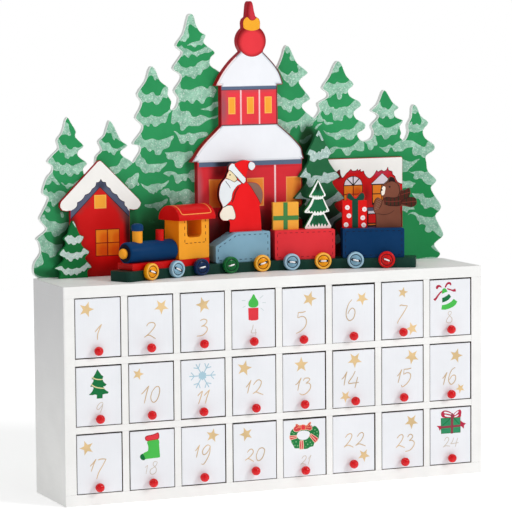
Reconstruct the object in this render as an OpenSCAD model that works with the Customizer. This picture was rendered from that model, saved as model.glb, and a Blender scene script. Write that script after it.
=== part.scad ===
// Wooden advent calendar: a low cabinet of 24 small drawers with a cut-out
// winter forest, a little town and a toy train standing on its top.
// Millimetres. Origin: middle of the underside of the cabinet, +Z up,
// the drawers open towards -Y.

/* [Cabinet] */
// Overall width of the cabinet
cabinet_w = 400; // [396:1:404]
// Overall depth of the cabinet
cabinet_d = 80; // [78:1:92]
// Overall height of the cabinet
cabinet_h = 190; // [184:1:196]
// Thickness of the outer boards
board_t = 10; // [8:0.5:12]
// Thickness of the shelves and dividers
divider_t = 6; // [5:0.5:7]
// Thickness of the back panel
back_t = 3; // [2:0.5:3]

/* [Drawers] */
// Thickness of a drawer front
front_t = 5; // [4:0.5:7]
// Gap at each side of a drawer front
front_gap = 1.1; // [0.8:0.1:1.2]
// Thickness of a drawer's side and back boards
tray_wall = 3; // [2:0.5:3.5]
// Thickness of a drawer's bottom board
tray_floor = 2.5; // [2:0.5:3]
// Height of a drawer's sides above its bottom board
tray_side_h = 35; // [28:1:40]
// Diameter of the ball knob
knob_d = 8; // [6:0.5:9]
// Height of the knob above the foot of the front
knob_up = 6; // [5:0.5:9]

/* [Scenery] */
// Thickness of the forest board
forest_t = 5; // [4:0.5:5]
// Thickness of the tower board
tower_t = 7; // [5:0.5:7]
// Thickness of the house and the shop
house_t = 4; // [3:0.5:4]
// Thickness of the two loose pines
pine_t = 4; // [3:0.5:4]

/* [Train] */
// Height of the curved base strip
base_h = 9; // [9:0.5:9]
// Depth of the wagons
wagon_d = 17; // [15:0.5:18]
// Thickness of the standing figures and parcels
figure_t = 4; // [3:0.5:6]
// Diameter of the button wheels
button_d = 15; // [13:0.5:15]

/* [Hidden] */

glue = 0.05;                       // glue line between the boards of one drawer
yb = cabinet_d / 2;                // back edge of the cabinet
yf = -cabinet_d / 2;               // front edge of the cabinet
lift = cabinet_h - 190;            // scenery heights are drawn for a 190 cabinet
cell_w = (cabinet_w - 2 * board_t - 7 * divider_t) / 8;
cell_h = (cabinet_h - 2 * board_t - 2 * divider_t) / 3;
cell_d = cabinet_d - 1 - back_t;   // depth of a cell in front of the back panel

function cell_x(col) = -cabinet_w / 2 + board_t + col * (cell_w + divider_t);
function cell_z(row) = board_t + row * (cell_h + divider_t);

// A smooth open line through the given points
function bend(a, b, c, d, t) =
  0.5 * (2 * b + (c - a) * t + (2 * a - 5 * b + 4 * c - d) * t * t
         + (3 * b - a - 3 * c + d) * t * t * t);
function smooth(p, n = 3) = let (m = len(p))
  concat([for (i = [0 : m - 2]) for (k = [0 : n - 1])
            bend(p[max(i - 1, 0)], p[i], p[i + 1], p[min(i + 2, m - 1)], k / n)],
         [p[m - 1]]);

// A flat board with outline p in x and z, front face at y, thickness t
module flat(p, y, t)
  translate([0, y + t, 0]) rotate([90, 0, 0]) linear_extrude(height = t) polygon(p);

// ---------------------------------------------------------------- cabinet

module slab(x0, x1, y0, y1, z0, z1)
  translate([x0, y0, z0]) cube([x1 - x0, y1 - y0, z1 - z0]);

module top_board() color("white")
  slab(-cabinet_w / 2, cabinet_w / 2, yf, yb, cabinet_h - board_t, cabinet_h);

module bottom_board() color("white")
  slab(-cabinet_w / 2, cabinet_w / 2, yf, yb, 0, board_t);

module left_side() color("white")
  slab(-cabinet_w / 2, -cabinet_w / 2 + board_t, yf, yb, board_t, cabinet_h - board_t);

module right_side() color("white")
  slab(cabinet_w / 2 - board_t, cabinet_w / 2, yf, yb, board_t, cabinet_h - board_t);

module back_panel() color("white")
  slab(-cabinet_w / 2 + board_t, cabinet_w / 2 - board_t, yb - 1 - back_t, yb - 1,
       board_t, cabinet_h - board_t);

module shelf(row)
  slab(-cabinet_w / 2 + board_t, cabinet_w / 2 - board_t, yf, yf + cell_d,
       cell_z(row) + cell_h, cell_z(row + 1));

module upper_shelf() color("white") shelf(1);
module lower_shelf() color("white") shelf(0);

module dividers(row)
  for (col = [0 : 6])
    slab(cell_x(col) + cell_w, cell_x(col + 1), yf, yf + cell_d,
         cell_z(row), cell_z(row) + cell_h);

module dividers_top_row() color("white") dividers(2);
module dividers_middle_row() color("white") dividers(1);
module dividers_bottom_row() color("white") dividers(0);

// ---------------------------------------------------------------- drawers

// Each knob was set by hand, so it stands a little off the middle: [x, z]
knob_off = [
  [-1.0, 0.0], [-1.0, 0.1], [-0.2, 0.7], [-1.5, 0.1], [-2.2, -0.9], [-1.8, -0.6], [-1.2, 0.2], [-1.3, -0.1],
  [-0.4, -0.2], [-1.2, 0.1], [-1.3, -0.2], [0.0, -0.3], [-1.5, -0.1], [-0.4, -0.4], [-0.7, -0.2], [-1.3, -0.5],
  [-1.6, -0.9], [-0.6, -0.6], [-1.1, 0.6], [-0.8, 2.6], [-1.2, -0.7], [-2.3, 1.5], [0.3, -0.3], [-0.6, -0.5]];

module drawer(n) {
  col = (n - 1) % 8;
  row = 2 - floor((n - 1) / 8);
  x = cell_x(col) + cell_w / 2;
  z = cell_z(row);
  hw = cell_w / 2 - 1.3;
  y0 = yf + front_t + glue;
  y1 = yf + cell_d - 3;
  zs = z + 0.3 + tray_floor + glue;
  color("white")
    slab(x - cell_w / 2 + front_gap, x + cell_w / 2 - front_gap, yf, yf + front_t,
         z + 0.8, z + cell_h - 1.3);
  color("burlywood") {
    slab(x - hw, x + hw, y0, y1, z + 0.3, z + 0.3 + tray_floor);
    slab(x - hw, x - hw + tray_wall, y0, y1, zs, zs + tray_side_h);
    slab(x + hw - tray_wall, x + hw, y0, y1, zs, zs + tray_side_h);
    slab(x - hw + tray_wall + glue, x + hw - tray_wall - glue, y1 - tray_wall, y1,
         zs, zs + tray_side_h);
  }
  color("firebrick") translate([x + knob_off[n - 1][0], yf - 0.5 - knob_d / 2, z + 0.7 + knob_up + knob_off[n - 1][1]]) {
    sphere(d = knob_d, $fn = 32);
    rotate([-90, 0, 0]) cylinder(d = 3, h = 0.5 + knob_d / 2 - glue, $fn = 24);
  }
}

module drawer_01() drawer(1);
module drawer_02() drawer(2);
module drawer_03() drawer(3);
module drawer_04() drawer(4);
module drawer_05() drawer(5);
module drawer_06() drawer(6);
module drawer_07() drawer(7);
module drawer_08() drawer(8);
module drawer_09() drawer(9);
module drawer_10() drawer(10);
module drawer_11() drawer(11);
module drawer_12() drawer(12);
module drawer_13() drawer(13);
module drawer_14() drawer(14);
module drawer_15() drawer(15);
module drawer_16() drawer(16);
module drawer_17() drawer(17);
module drawer_18() drawer(18);
module drawer_19() drawer(19);
module drawer_20() drawer(20);
module drawer_21() drawer(21);
module drawer_22() drawer(22);
module drawer_23() drawer(23);
module drawer_24() drawer(24);

// ---------------------------------------------------------------- scenery

// Eight pines side by side, left to right, sawn from one board
pine_1 = [[-196, 190], [-200.5, 193.5], [-201.5, 198.5], [-200, 205], [-194.5, 213],
  [-196, 222], [-198, 225.5], [-190.5, 231], [-189, 234.5], [-195, 242], [-192.5, 248],
  [-187.5, 257.5], [-187, 261.5], [-192, 265.5], [-188, 278], [-183, 283.5],
  [-182.5, 288.5], [-187, 292.5], [-181.5, 299], [-176.5, 304], [-178, 311],
  [-173, 318], [-170, 328], [-167.5, 331], [-165, 327], [-160, 318.5], [-160.5, 313.5],
  [-153, 305.5], [-158, 301], [-158, 296.5], [-150, 290], [-154, 285], [-151, 276],
  [-147, 274], [-143, 281]];
pine_2 = [[-142, 295], [-136.5, 301], [-139.5, 308.5], [-134, 314], [-131.5, 321],
  [-129, 327], [-125.5, 323.5], [-121.5, 315.5], [-118, 309], [-112, 304.5],
  [-118.5, 299.5], [-116.5, 295.5], [-110, 291.5], [-107, 289.5]];
pine_3 = [[-104.5, 293], [-100.5, 299], [-101, 303.5], [-107, 305.5], [-104.5, 310],
  [-99, 316.5], [-98, 322], [-104.5, 328.5], [-100.5, 336], [-98.5, 342.5],
  [-102.5, 350], [-94.5, 361], [-91.5, 370.5], [-88.5, 374], [-85, 371], [-80.5, 361],
  [-73, 355], [-73.5, 348.5], [-70, 342.5], [-71, 336.5], [-69, 335]];
pine_4 = [[-65.5, 337.5], [-63.5, 345], [-67.5, 352], [-61.5, 360.5], [-61, 366],
  [-68.5, 371.5], [-62.5, 380.5], [-59.5, 386], [-65.5, 392], [-58.5, 402],
  [-55, 413.5], [-53.5, 418], [-51, 420], [-48, 418], [-46, 410.5], [-42, 404],
  [-36.5, 400.5], [-38.5, 394], [-28, 385.5], [-32, 380.5], [-32.5, 374], [-24, 368],
  [-10, 356], [0, 353.5], [12, 355.5], [25, 364]];
pine_5 = [[32.5, 370.5], [37.5, 381], [39.5, 387.5], [42, 390.5], [45, 388],
  [48.5, 381], [52.5, 374], [62, 366.5], [61, 363.5], [54, 358], [57, 352],
  [64.5, 343], [63, 340], [57, 336.5], [58.5, 332], [67, 325], [70, 325]];
pine_6 = [[74, 331], [72.5, 337.5], [82, 342.5], [82, 347], [77, 351.5], [84, 361.5],
  [88.5, 371], [92.5, 375.5], [96.5, 372], [101, 362], [108.5, 354], [103, 348.5],
  [105, 343], [113.5, 338.5], [115.5, 334], [108.5, 328.5], [111, 322.5],
  [119.5, 318], [119, 312.5], [112, 308.5], [115.5, 302.5], [121, 302]];
pine_7 = [[126.5, 304.5], [128, 310], [126, 316], [133, 323], [131, 326.5],
  [126, 329.5], [132.5, 335.5], [137.5, 346.5], [140.5, 347.5], [144, 342.5],
  [148, 336.5], [154, 331.5], [149.5, 328], [151, 323], [158.5, 319.5], [155, 314],
  [156.5, 308], [155.5, 304], [160, 301.5]];
pine_8 = [[163.5, 308], [163, 315.5], [166.5, 322], [167.5, 331.5], [170, 334],
  [173, 331], [176.5, 323.5], [184.5, 317], [179, 310], [181, 303], [190, 296.5],
  [190, 291], [182, 286], [182.5, 280], [184, 272], [192, 264.5], [191.5, 261],
  [187, 256.5], [190.5, 249.5], [197, 240], [196, 235], [191.5, 230], [195.5, 221.5],
  [199.5, 213.5], [198, 209.5], [190.5, 204], [193, 199], [196.5, 194.5],
  [194.5, 191.5], [192, 190]];

module forest_board() color("seagreen") translate([0, 0, lift])
  flat(smooth(concat(pine_1, pine_2, pine_3, pine_4, pine_5, pine_6, pine_7, pine_8)),
       yb - forest_t, forest_t);

// Tower: body, snow roof, drum, dome, ball, knob and spike sawn from one board
tower_left = concat(
  [[-49, 190], [-49, 288], [-54.5, 288]],
  smooth([[-50, 294.5], [-46, 300], [-40, 306.5], [-33, 313], [-25.5, 320]]),
  [[-25.5, 355.5]],
  smooth([[-31, 355.5], [-28.5, 360], [-25, 366], [-20, 372.5], [-14, 379], [-6.5, 385.5]]),
  [for (a = [216 : -6 : 126]) [4.5 + 14 * cos(a), 395 + 14 * sin(a)]],
  [[-3.8, 408.5], [-4, 410.5], [-3.8, 412.5], [-2.8, 414.8], [-0.8, 416.2]]);
tower_right = concat(
  [[9.8, 416.2], [11.8, 414.8], [12.8, 412.5], [13, 410.5], [12.8, 408.5]],
  [for (a = [54 : -6 : -36]) [4.5 + 14 * cos(a), 395 + 14 * sin(a)]],
  smooth([[15.5, 385], [21.5, 379], [26.8, 373.2], [31, 367], [33.6, 360.5], [34.6, 356.8], [33.6, 355.5]]),
  [[29, 355.5]],
  smooth([[29.5, 320], [35, 315.5], [42, 309.5], [48, 303.5], [52.5, 298], [53.5, 293], [55, 288.5]]),
  [[54.5, 288], [53, 288], [53, 190]]);

module tower_board() color("crimson") translate([0, 0, lift])
  flat(concat(tower_left,
         smooth([[-0.5, 416.8], [0, 422], [0.6, 427.5], [1.8, 430], [3.3, 430.5], [4.8, 430],
                 [6, 427.5], [7, 422], [8.5, 416.8]]),
         tower_right),
       yb - 5 - tower_t, tower_t);

// House front with a snow roof whose rounded eaves stand out at both sides
module house_board() color("crimson") translate([0, 0, lift])
  flat([[-168, 190], [-112.4, 190], [-112.4, 248.3], [-111, 247.8], [-108.5, 247.5],
        [-105, 248], [-102.5, 250.5], [-101.5, 253.5], [-103.5, 257],
        [-137, 290.5], [-139.5, 292.5], [-142, 291.5],
        [-176.5, 257.5], [-177.5, 255], [-177.5, 252.5], [-175.5, 249.5],
        [-171.5, 248.5], [-168, 249]],
       yb - 5 - house_t, house_t);

module shop_board() color("crimson") translate([0, 0, lift])
  flat([[66, 190], [155.5, 190], [155.5, 285.5], [154.5, 286.5], [67, 286.5], [66, 285.5]],
       yb - 5 - house_t, house_t);

module big_pine() color("darkgreen") translate([0, 0, lift])
  flat(smooth([[64, 190], [63, 200], [58, 208], [46, 213], [45, 216], [52, 224],
        [56, 231], [44, 235.5], [43.5, 239], [52, 246], [55, 251], [44.5, 252],
        [46, 255], [53, 262.5], [56, 270], [48.5, 271.5], [51, 275.5], [57.5, 284],
        [59, 290.5], [56.5, 292.5], [62, 302], [66, 311], [68, 313.5], [70, 311],
        [75, 301], [81, 293], [79, 290.5], [77.5, 286], [83, 277.5], [88.5, 271.5],
        [87, 269.5], [81.5, 266], [86, 259], [93, 252], [91, 249.5], [83.5, 246],
        [87, 240], [93.5, 236], [92, 233], [84, 228], [86, 222], [89.5, 214],
        [88, 210], [78, 205], [75, 198], [74, 190]]),
       yb - 12 - pine_t, pine_t);

module small_pine() color("darkgreen") translate([0, 0, lift])
  flat(smooth([[-180.5, 190], [-179, 195], [-181, 197.5], [-185, 199.5], [-182, 201],
        [-177, 205], [-175.5, 208], [-180, 211], [-178.5, 214.5], [-174, 218.5],
        [-173.5, 222], [-175.5, 225.5], [-171.5, 229], [-169.5, 235.5], [-167, 240.5],
        [-164.5, 237], [-161, 228.5], [-157, 226], [-159.5, 220.5], [-157, 216.5],
        [-152, 212.5], [-156, 207.5], [-154, 204], [-150, 199], [-153.5, 196.5],
        [-154, 193], [-153.5, 190]]),
       yb - 9 - pine_t, pine_t);

// ---------------------------------------------------------------- train

// The strip is an arc whose ends come forward; wagons are set around it.
// Inside on_track: x runs along the wagon, y is the distance from the
// middle of the arc, z is the height.
track_x = 2;
track_y = yb - 332;
mid_r = 308;

module on_track(a, turn)
  translate([track_x + mid_r * sin(a), track_y + mid_r * cos(a), lift])
    rotate([0, 0, -turn]) translate([0, -mid_r, 0]) children();

module plate(p, t = figure_t)
  translate([0, mid_r + t / 2, 0]) rotate([90, 0, 0]) linear_extrude(height = t) polygon(p);

module block(p, r, d)
  translate([0, r + d, 0]) rotate([90, 0, 0]) linear_extrude(height = d) polygon(p);

// Rectangle with rounded corners, in x and z
function corner(x, z, r, a) = [for (k = [0 : 4]) [x + r * cos(a + k * 22.5), z + r * sin(a + k * 22.5)]];
function soft_box(x0, x1, z0, z1, r) =
  concat(corner(x1 - r, z0 + r, r, 270), corner(x1 - r, z1 - r, r, 0),
         corner(x0 + r, z1 - r, r, 90), corner(x0 + r, z0 + r, r, 180));

function around(a, r) = [track_x + r * sin(a), track_y + r * cos(a)];
function strip_corner(a, r, rc, from) =
  [for (k = [0 : 4]) around(a, r) + rc * [sin(a + from - k * 22.5), cos(a + from - k * 22.5)]];

// Ring sector with rounded corners
function strip(a0, a1, r0, r1, rc) = let (
    d0 = asin(rc / (r0 + rc)), d1 = asin(rc / (r1 - rc)))
  concat([for (a = [a0 + d0 : (a1 - a0 - 2 * d0) / 36 : a1 - d0 + 0.001]) around(a, r0)],
         strip_corner(a1 - d0, r0 + rc, rc, 180),
         strip_corner(a1 - d1, r1 - rc, rc, 90),
         [for (k = [1 : 35]) around(a1 - d1 - k * (a1 - a0 - 2 * d1) / 36, r1)],
         strip_corner(a0 + d1, r1 - rc, rc, 0),
         strip_corner(a0 + d0, r0 + rc, rc, 270));

module track_base() color("darkslategray")
  translate([0, 0, cabinet_h]) linear_extrude(height = base_h)
    polygon(strip(-27.8, 27.6, 296, 320, 4));

loco_a = -17.9;

module loco_chassis() color("crimson") on_track(loco_a, loco_a)
  block(soft_box(-42.5, 44, 199, 205, 0.8), 297.5, 21);

module boiler() color("midnightblue") on_track(loco_a, loco_a)
  difference() {
    translate([-43, 307.5, 213.7]) rotate([0, 90, 0])
      rotate_extrude($fn = 96)
        polygon([[0, 0], [8, 0], [8.8, 0.3], [9.3, 0.9], [9.5, 1.8], [9.5, 50.7],
                 [9.3, 51.6], [8.8, 52.2], [8, 52.5], [0, 52.5]]);
    translate([-60, 290, 190]) cube([80, 40, 15]);
    translate([-29, 307.5, 217]) cylinder(d = 9.2, h = 20, $fn = 48);
    translate([-4, 307.5, 217]) cylinder(d = 7.4, h = 20, $fn = 48);
  }

module headlamp() color("orange") on_track(loco_a, loco_a)
  translate([-43, 307.5, 213.4]) rotate([0, -90, 0])
    rotate_extrude($fn = 48)
      polygon([[0, 0], [4.2, 0], [4.5, 0.9], [4.6, 1.6], [4.5, 2.5], [4.1, 3.4], [3.4, 4.2],
               [2.4, 4.9], [1.2, 5.3], [0, 5.4]]);

module chimney() color("orange") on_track(loco_a, loco_a)
  translate([-29, 307.5, 217.1]) cylinder(d = 9, h = 15.4, $fn = 48);

module chimney_cap() color("midnightblue") on_track(loco_a, loco_a)
  translate([-29, 307.5, 232.5]) rotate_extrude($fn = 48)
    polygon([[0, 0], [4.9, 0], [5.3, 0.5], [5.3, 3.6], [4.9, 5], [3.6, 6], [1.8, 6.4], [0, 6.5]]);

module steam_peg() color("firebrick") on_track(loco_a, loco_a)
  translate([-4, 307.5, 217.1]) cylinder(d = 7.2, h = 15, $fn = 48);

module cab() color("orange") on_track(loco_a, loco_a)
  block([[10.3, 205], [43.2, 205], [44, 205.8], [44, 239.5], [35.3, 239.5],
         [35.3, 227.5], [34.8, 225.8], [33.7, 224.5], [32, 224], [22.3, 224],
         [20.6, 224.5], [19.5, 225.8], [19, 227.5], [19, 239.5], [9.5, 239.5],
         [9.5, 205.8]], 297.5, 20);

// Arched roof, drawn across the train and run along it
module cab_roof() color("firebrick") on_track(loco_a, loco_a)
  translate([6.5, 307.5, 239.5]) rotate([90, 0, 90]) linear_extrude(height = 41.5)
    polygon(concat([[-14.5, 0]], [[14.5, 0]],
      [for (a = [6 : 8 : 174]) [14.6 * cos(a), 0.4 + 12.6 * sin(a)]]));

module tender() color("steelblue") on_track(-3.4, -3.4)
  block(concat([[-25.2, 200], [-24.2, 199]], corner(27.3, 200.5, 1.5, 270),
               corner(27.3, 224.1, 1.5, 0), [[-4.5, 225.6], [-6, 225.1], [-24.6, 214.5], [-25.2, 213.5]]),
        mid_r - wagon_d / 2, wagon_d);

module red_wagon() color("indianred") on_track(7.9, 7.9)
  block(soft_box(-26, 30.2, 199, 225.6, 1.5), mid_r - wagon_d / 2, wagon_d);

module blue_wagon() color("midnightblue") on_track(20.1, 17)
  block(soft_box(-27.5, 28.5, 199, 225.6, 1.5), mid_r - 1.5 - wagon_d / 2, wagon_d);

// Nine buttons glued to the front of the strip, in order from the left
button_a = [-23, -17.2, -12, -6.1, 0, 5.5, 11.2, 17, 22.5];
// Lean of the stitch on each button, in degrees
button_lean = [-18, -30, 14, 13, 15, -6, 0, -13, -20];

module at_button(i)
  on_track(button_a[i], button_a[i]) translate([0, 295.85, 197.7]) rotate([90, 0, 0]) children();

module button_wheels() {
  r = button_d / 2;
  for (i = [0 : 8]) color("orange") at_button(i) difference() {
    rotate_extrude($fn = 64)
      polygon([[0, 0], [r - 0.7, 0], [r, 0.7], [r, 4], [r - 0.4, 4.7], [r - 1, 5],
               [r - 1.7, 4.9], [r - 2.2, 4.2], [r - 2.7, 4.2], [r - 3, 4.5], [0, 4.5]]);
    rotate([0, 0, button_lean[i]]) for (s = [-2.8, 2.8])
      translate([s, 0, -1]) cylinder(d = 1.8, h = 8, $fn = 20);
  }
}

// A stitch of thick thread through the two holes of each button
module button_threads()
  for (i = [0 : 8]) color("white") at_button(i) rotate([0, 0, button_lean[i]]) {
    translate([-3.4, -0.6, 4.52]) cube([6.8, 1.2, 0.9]);
    for (s = [-2.8, 2.8]) translate([s, 0, 0.2]) cylinder(d = 1.2, h = 4.7, $fn = 16);
  }

// ---------------------------------------------------------------- figures

module santa() color("red") on_track(-3.4, -3.4)
  plate(smooth([[-8.5, 225.6], [-8, 235], [-12, 236], [-15, 236.5], [-17.5, 239], [-18, 242.5],
    [-16, 246], [-15, 248], [-16, 251], [-18, 255.5], [-18.5, 261], [-17.5, 266.5],
    [-15.5, 270.5], [-12.5, 273.5], [-11, 275.5], [-10.5, 277.5], [-9, 280],
    [-9, 282.5], [-8, 285], [-5.5, 287], [-3, 286.5], [2, 288.5], [7, 289.5],
    [12, 288.5], [16.5, 286.5], [17.5, 283.5], [16, 281], [13.5, 280], [10.5, 281.5],
    [9.5, 279], [8, 273], [8, 271], [8.5, 269.5], [12, 269.5], [17.5, 269],
    [21.5, 266.5], [24.5, 261.5], [25, 256], [23.5, 250.5], [21.5, 247.5],
    [22.5, 241], [23.5, 225.6]]));

module yellow_gift() color("orange") on_track(7.9, 7.9)
  plate(soft_box(-25.8, -2, 225.6, 250.4, 0.5));

module wagon_tree() color("darkgreen") on_track(7.9, 7.9)
  plate([[4, 225.6], [3.5, 226.5], [4, 228], [11, 239.5], [4, 240], [3.3, 240.8], [3.6, 242],
    [11, 253.5], [8, 254.2], [7.5, 255], [15.8, 269.5], [16.5, 270], [17.2, 269.5],
    [23.7, 256.2], [23.5, 254.8], [21.3, 253.8], [27, 242], [26.8, 240.6], [22.3, 239.6],
    [28.6, 228], [28.6, 226.4], [27.8, 225.6]]);

module dotted_gift() color("red") on_track(20.1, 17)
  plate([[-26.7, 225.6], [-26.7, 250.5], [-22.5, 250.5], [-22.7, 254], [-22, 256.5],
    [-20.5, 257.6], [-19, 257], [-16.5, 253.8], [-13, 253.8], [-10.5, 257], [-9, 257.8],
    [-7, 257], [-6, 254], [-7, 250.5], [-4.4, 250.5], [-4.4, 225.6]]);

module bear() color("sienna") on_track(20.1, 17)
  plate(smooth([[4, 225.6], [4, 236.5], [2, 241], [2, 246], [3.5, 250.5], [5.5, 252.5],
    [8, 252], [9.5, 249.5], [10.5, 251], [10.5, 253.5], [9, 255], [8.5, 258],
    [9.5, 262], [12, 265.5], [15, 268], [15.5, 270], [18, 271.5], [21, 270],
    [22, 267], [25.5, 264.5], [26.5, 259.5], [31, 259.5], [34.5, 261], [35.5, 256],
    [34.5, 253], [40, 252], [41, 246.5], [36.5, 243.5], [27, 245], [26, 241],
    [27, 234], [26.5, 225.6]]));

// ---------------------------------------------------------------- nodes

top_board();
bottom_board();
left_side();
right_side();
back_panel();
upper_shelf();
lower_shelf();
dividers_top_row();
dividers_middle_row();
dividers_bottom_row();
drawer_01();
drawer_02();
drawer_03();
drawer_04();
drawer_05();
drawer_06();
drawer_07();
drawer_08();
drawer_09();
drawer_10();
drawer_11();
drawer_12();
drawer_13();
drawer_14();
drawer_15();
drawer_16();
drawer_17();
drawer_18();
drawer_19();
drawer_20();
drawer_21();
drawer_22();
drawer_23();
drawer_24();
forest_board();
tower_board();
house_board();
shop_board();
big_pine();
small_pine();
track_base();
loco_chassis();
boiler();
headlamp();
chimney();
chimney_cap();
steam_peg();
cab();
cab_roof();
tender();
red_wagon();
blue_wagon();
button_wheels();
button_threads();
santa();
yellow_gift();
wagon_tree();
dotted_gift();
bear();
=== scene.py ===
import math
import random

import bmesh
import bpy
from mathutils import Matrix, Vector
from mathutils.geometry import delaunay_2d_cdt


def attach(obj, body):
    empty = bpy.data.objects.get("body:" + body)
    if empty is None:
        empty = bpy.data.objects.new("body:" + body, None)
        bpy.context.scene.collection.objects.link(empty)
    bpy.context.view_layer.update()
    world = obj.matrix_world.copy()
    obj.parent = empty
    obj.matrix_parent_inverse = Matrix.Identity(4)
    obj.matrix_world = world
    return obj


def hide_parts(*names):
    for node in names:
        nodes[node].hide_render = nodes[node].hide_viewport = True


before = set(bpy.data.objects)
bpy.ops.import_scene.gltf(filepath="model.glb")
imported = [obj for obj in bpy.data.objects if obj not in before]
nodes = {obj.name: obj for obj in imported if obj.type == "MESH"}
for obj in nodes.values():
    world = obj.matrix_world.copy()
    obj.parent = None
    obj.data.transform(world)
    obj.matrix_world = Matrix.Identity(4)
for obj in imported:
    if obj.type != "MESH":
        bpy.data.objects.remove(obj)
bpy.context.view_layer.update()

random.seed(11)
MM = 0.001

# ------------------------------------------------------------------ materials


def srgb(h, k=1.0):
    h = h.lstrip("#")
    out = []
    for i in (0, 2, 4):
        c = int(h[i:i + 2], 16) / 255
        c = c / 12.92 if c <= 0.04045 else ((c + 0.055) / 1.055) ** 2.4
        out.append(min(1.0, c * k))
    return (*out, 1.0)


def under_gloss(c, k=0.95, haze=0.012):
    """Pigment colour that looks like c once the pale sheen of the room lies on it."""
    return tuple(min(1.0, max(0.0015, (x - haze) / k)) for x in c[:3]) + (1.0,)


class Tree:
    """A small helper that adds shader nodes and links to one material."""

    def __init__(self, name):
        self.mat = bpy.data.materials.new(name)
        self.mat.use_nodes = True
        self.t = self.mat.node_tree
        self.bsdf = self.t.nodes["Principled BSDF"]
        self.coord = self.t.nodes.new("ShaderNodeTexCoord").outputs["Object"]

    def add(self, kind, **props):
        n = self.t.nodes.new(kind)
        for k, v in props.items():
            setattr(n, k, v)
        return n

    def link(self, a, b):
        self.t.links.new(a, b)

    def stretch(self, sx, sy, sz):
        n = self.add("ShaderNodeMapping")
        n.inputs["Scale"].default_value = (sx, sy, sz)
        self.link(self.coord, n.inputs["Vector"])
        return n.outputs["Vector"]

    def noise(self, scale, detail=2.0, rough=0.5, vec=None, distortion=0.0):
        n = self.add("ShaderNodeTexNoise")
        n.inputs["Scale"].default_value = scale
        n.inputs["Detail"].default_value = detail
        n.inputs["Roughness"].default_value = rough
        n.inputs["Distortion"].default_value = distortion
        self.link(vec or self.coord, n.inputs["Vector"])
        return n.outputs["Fac"]

    def cells(self, scale, vec=None):
        n = self.add("ShaderNodeTexVoronoi")
        n.inputs["Scale"].default_value = scale
        self.link(vec or self.coord, n.inputs["Vector"])
        return n

    def span(self, value, a, b, lo, hi, smooth=False):
        n = self.add("ShaderNodeMapRange")
        if smooth:
            n.interpolation_type = "SMOOTHSTEP"
        n.inputs["From Min"].default_value = a
        n.inputs["From Max"].default_value = b
        n.inputs["To Min"].default_value = lo
        n.inputs["To Max"].default_value = hi
        self.link(value, n.inputs["Value"])
        return n.outputs["Result"]

    def mix(self, fac, a, b, mode="MIX"):
        n = self.add("ShaderNodeMix", data_type="RGBA", blend_type=mode)
        for value, sock in ((fac, n.inputs[0]), (a, n.inputs[6]), (b, n.inputs[7])):
            if hasattr(value, "is_linked"):
                self.link(value, sock)
            else:
                sock.default_value = value
        return n.outputs[2]

    def math(self, op, a, b=None):
        n = self.add("ShaderNodeMath", operation=op)
        for value, sock in ((a, n.inputs[0]), (b, n.inputs[1])):
            if value is None:
                continue
            if hasattr(value, "is_linked"):
                self.link(value, sock)
            else:
                sock.default_value = value
        return n.outputs[0]

    def axis(self, k):
        n = self.add("ShaderNodeSeparateXYZ")
        self.link(self.coord, n.inputs[0])
        return n.outputs[k]

    def bump(self, height, strength, distance, under=None):
        n = self.add("ShaderNodeBump")
        n.inputs["Strength"].default_value = strength
        n.inputs["Distance"].default_value = distance
        self.link(height, n.inputs["Height"])
        if under is not None:
            self.link(under, n.inputs["Normal"])
        return n.outputs["Normal"]


def finish_tree(t, colour, rough, normal):
    t.link(colour, t.bsdf.inputs["Base Color"])
    t.link(rough, t.bsdf.inputs["Roughness"])
    t.link(normal, t.bsdf.inputs["Normal"])
    return t.mat


def shaded(t, colour, dark, edges):
    """Airbrushed shading: each entry darkens the paint away from a centre line.
    (axis, centre, clear half width, fade width, amount), millimetres."""
    for axis, centre, clear, fade, amount in edges:
        d = t.math("ABSOLUTE", t.math("SUBTRACT", t.axis(axis), centre * MM))
        f = t.span(d, clear * MM, (clear + fade) * MM, 0.0, amount, True)
        colour = t.mix(f, colour, dark)
    return colour


def airbrush_and_shade_patches(t, colour, dark, airbrush_and_shade):
    """Oval patches: some copy the board's airbrushing, others are painted shade and painted shadows where parts in
    front block the light. (kind, x, z, half width, half height, soft start, amount), millimetres:
    "in" darkens inside the oval, "out" darkens outside it. An eighth value is a colour of its own."""
    for kind, x, z, rx, rz, inner, amount, *own in airbrush_and_shade:
        m = t.add("ShaderNodeMapping")
        m.inputs["Scale"].default_value = (1 / (rx * MM), 0, 1 / (rz * MM))
        m.inputs["Location"].default_value = (-x / rx, 0, -z / rz)
        t.link(t.coord, m.inputs["Vector"])
        d = t.add("ShaderNodeVectorMath", operation="LENGTH")
        t.link(m.outputs[0], d.inputs[0])
        lo, hi = (amount, 0.0) if kind == "in" else (0.0, amount)
        tint = under_gloss(srgb(own[0])) if own else dark
        colour = t.mix(t.span(d.outputs["Value"], inner, 1.0, lo, hi, True), colour, tint)
    return colour


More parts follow.
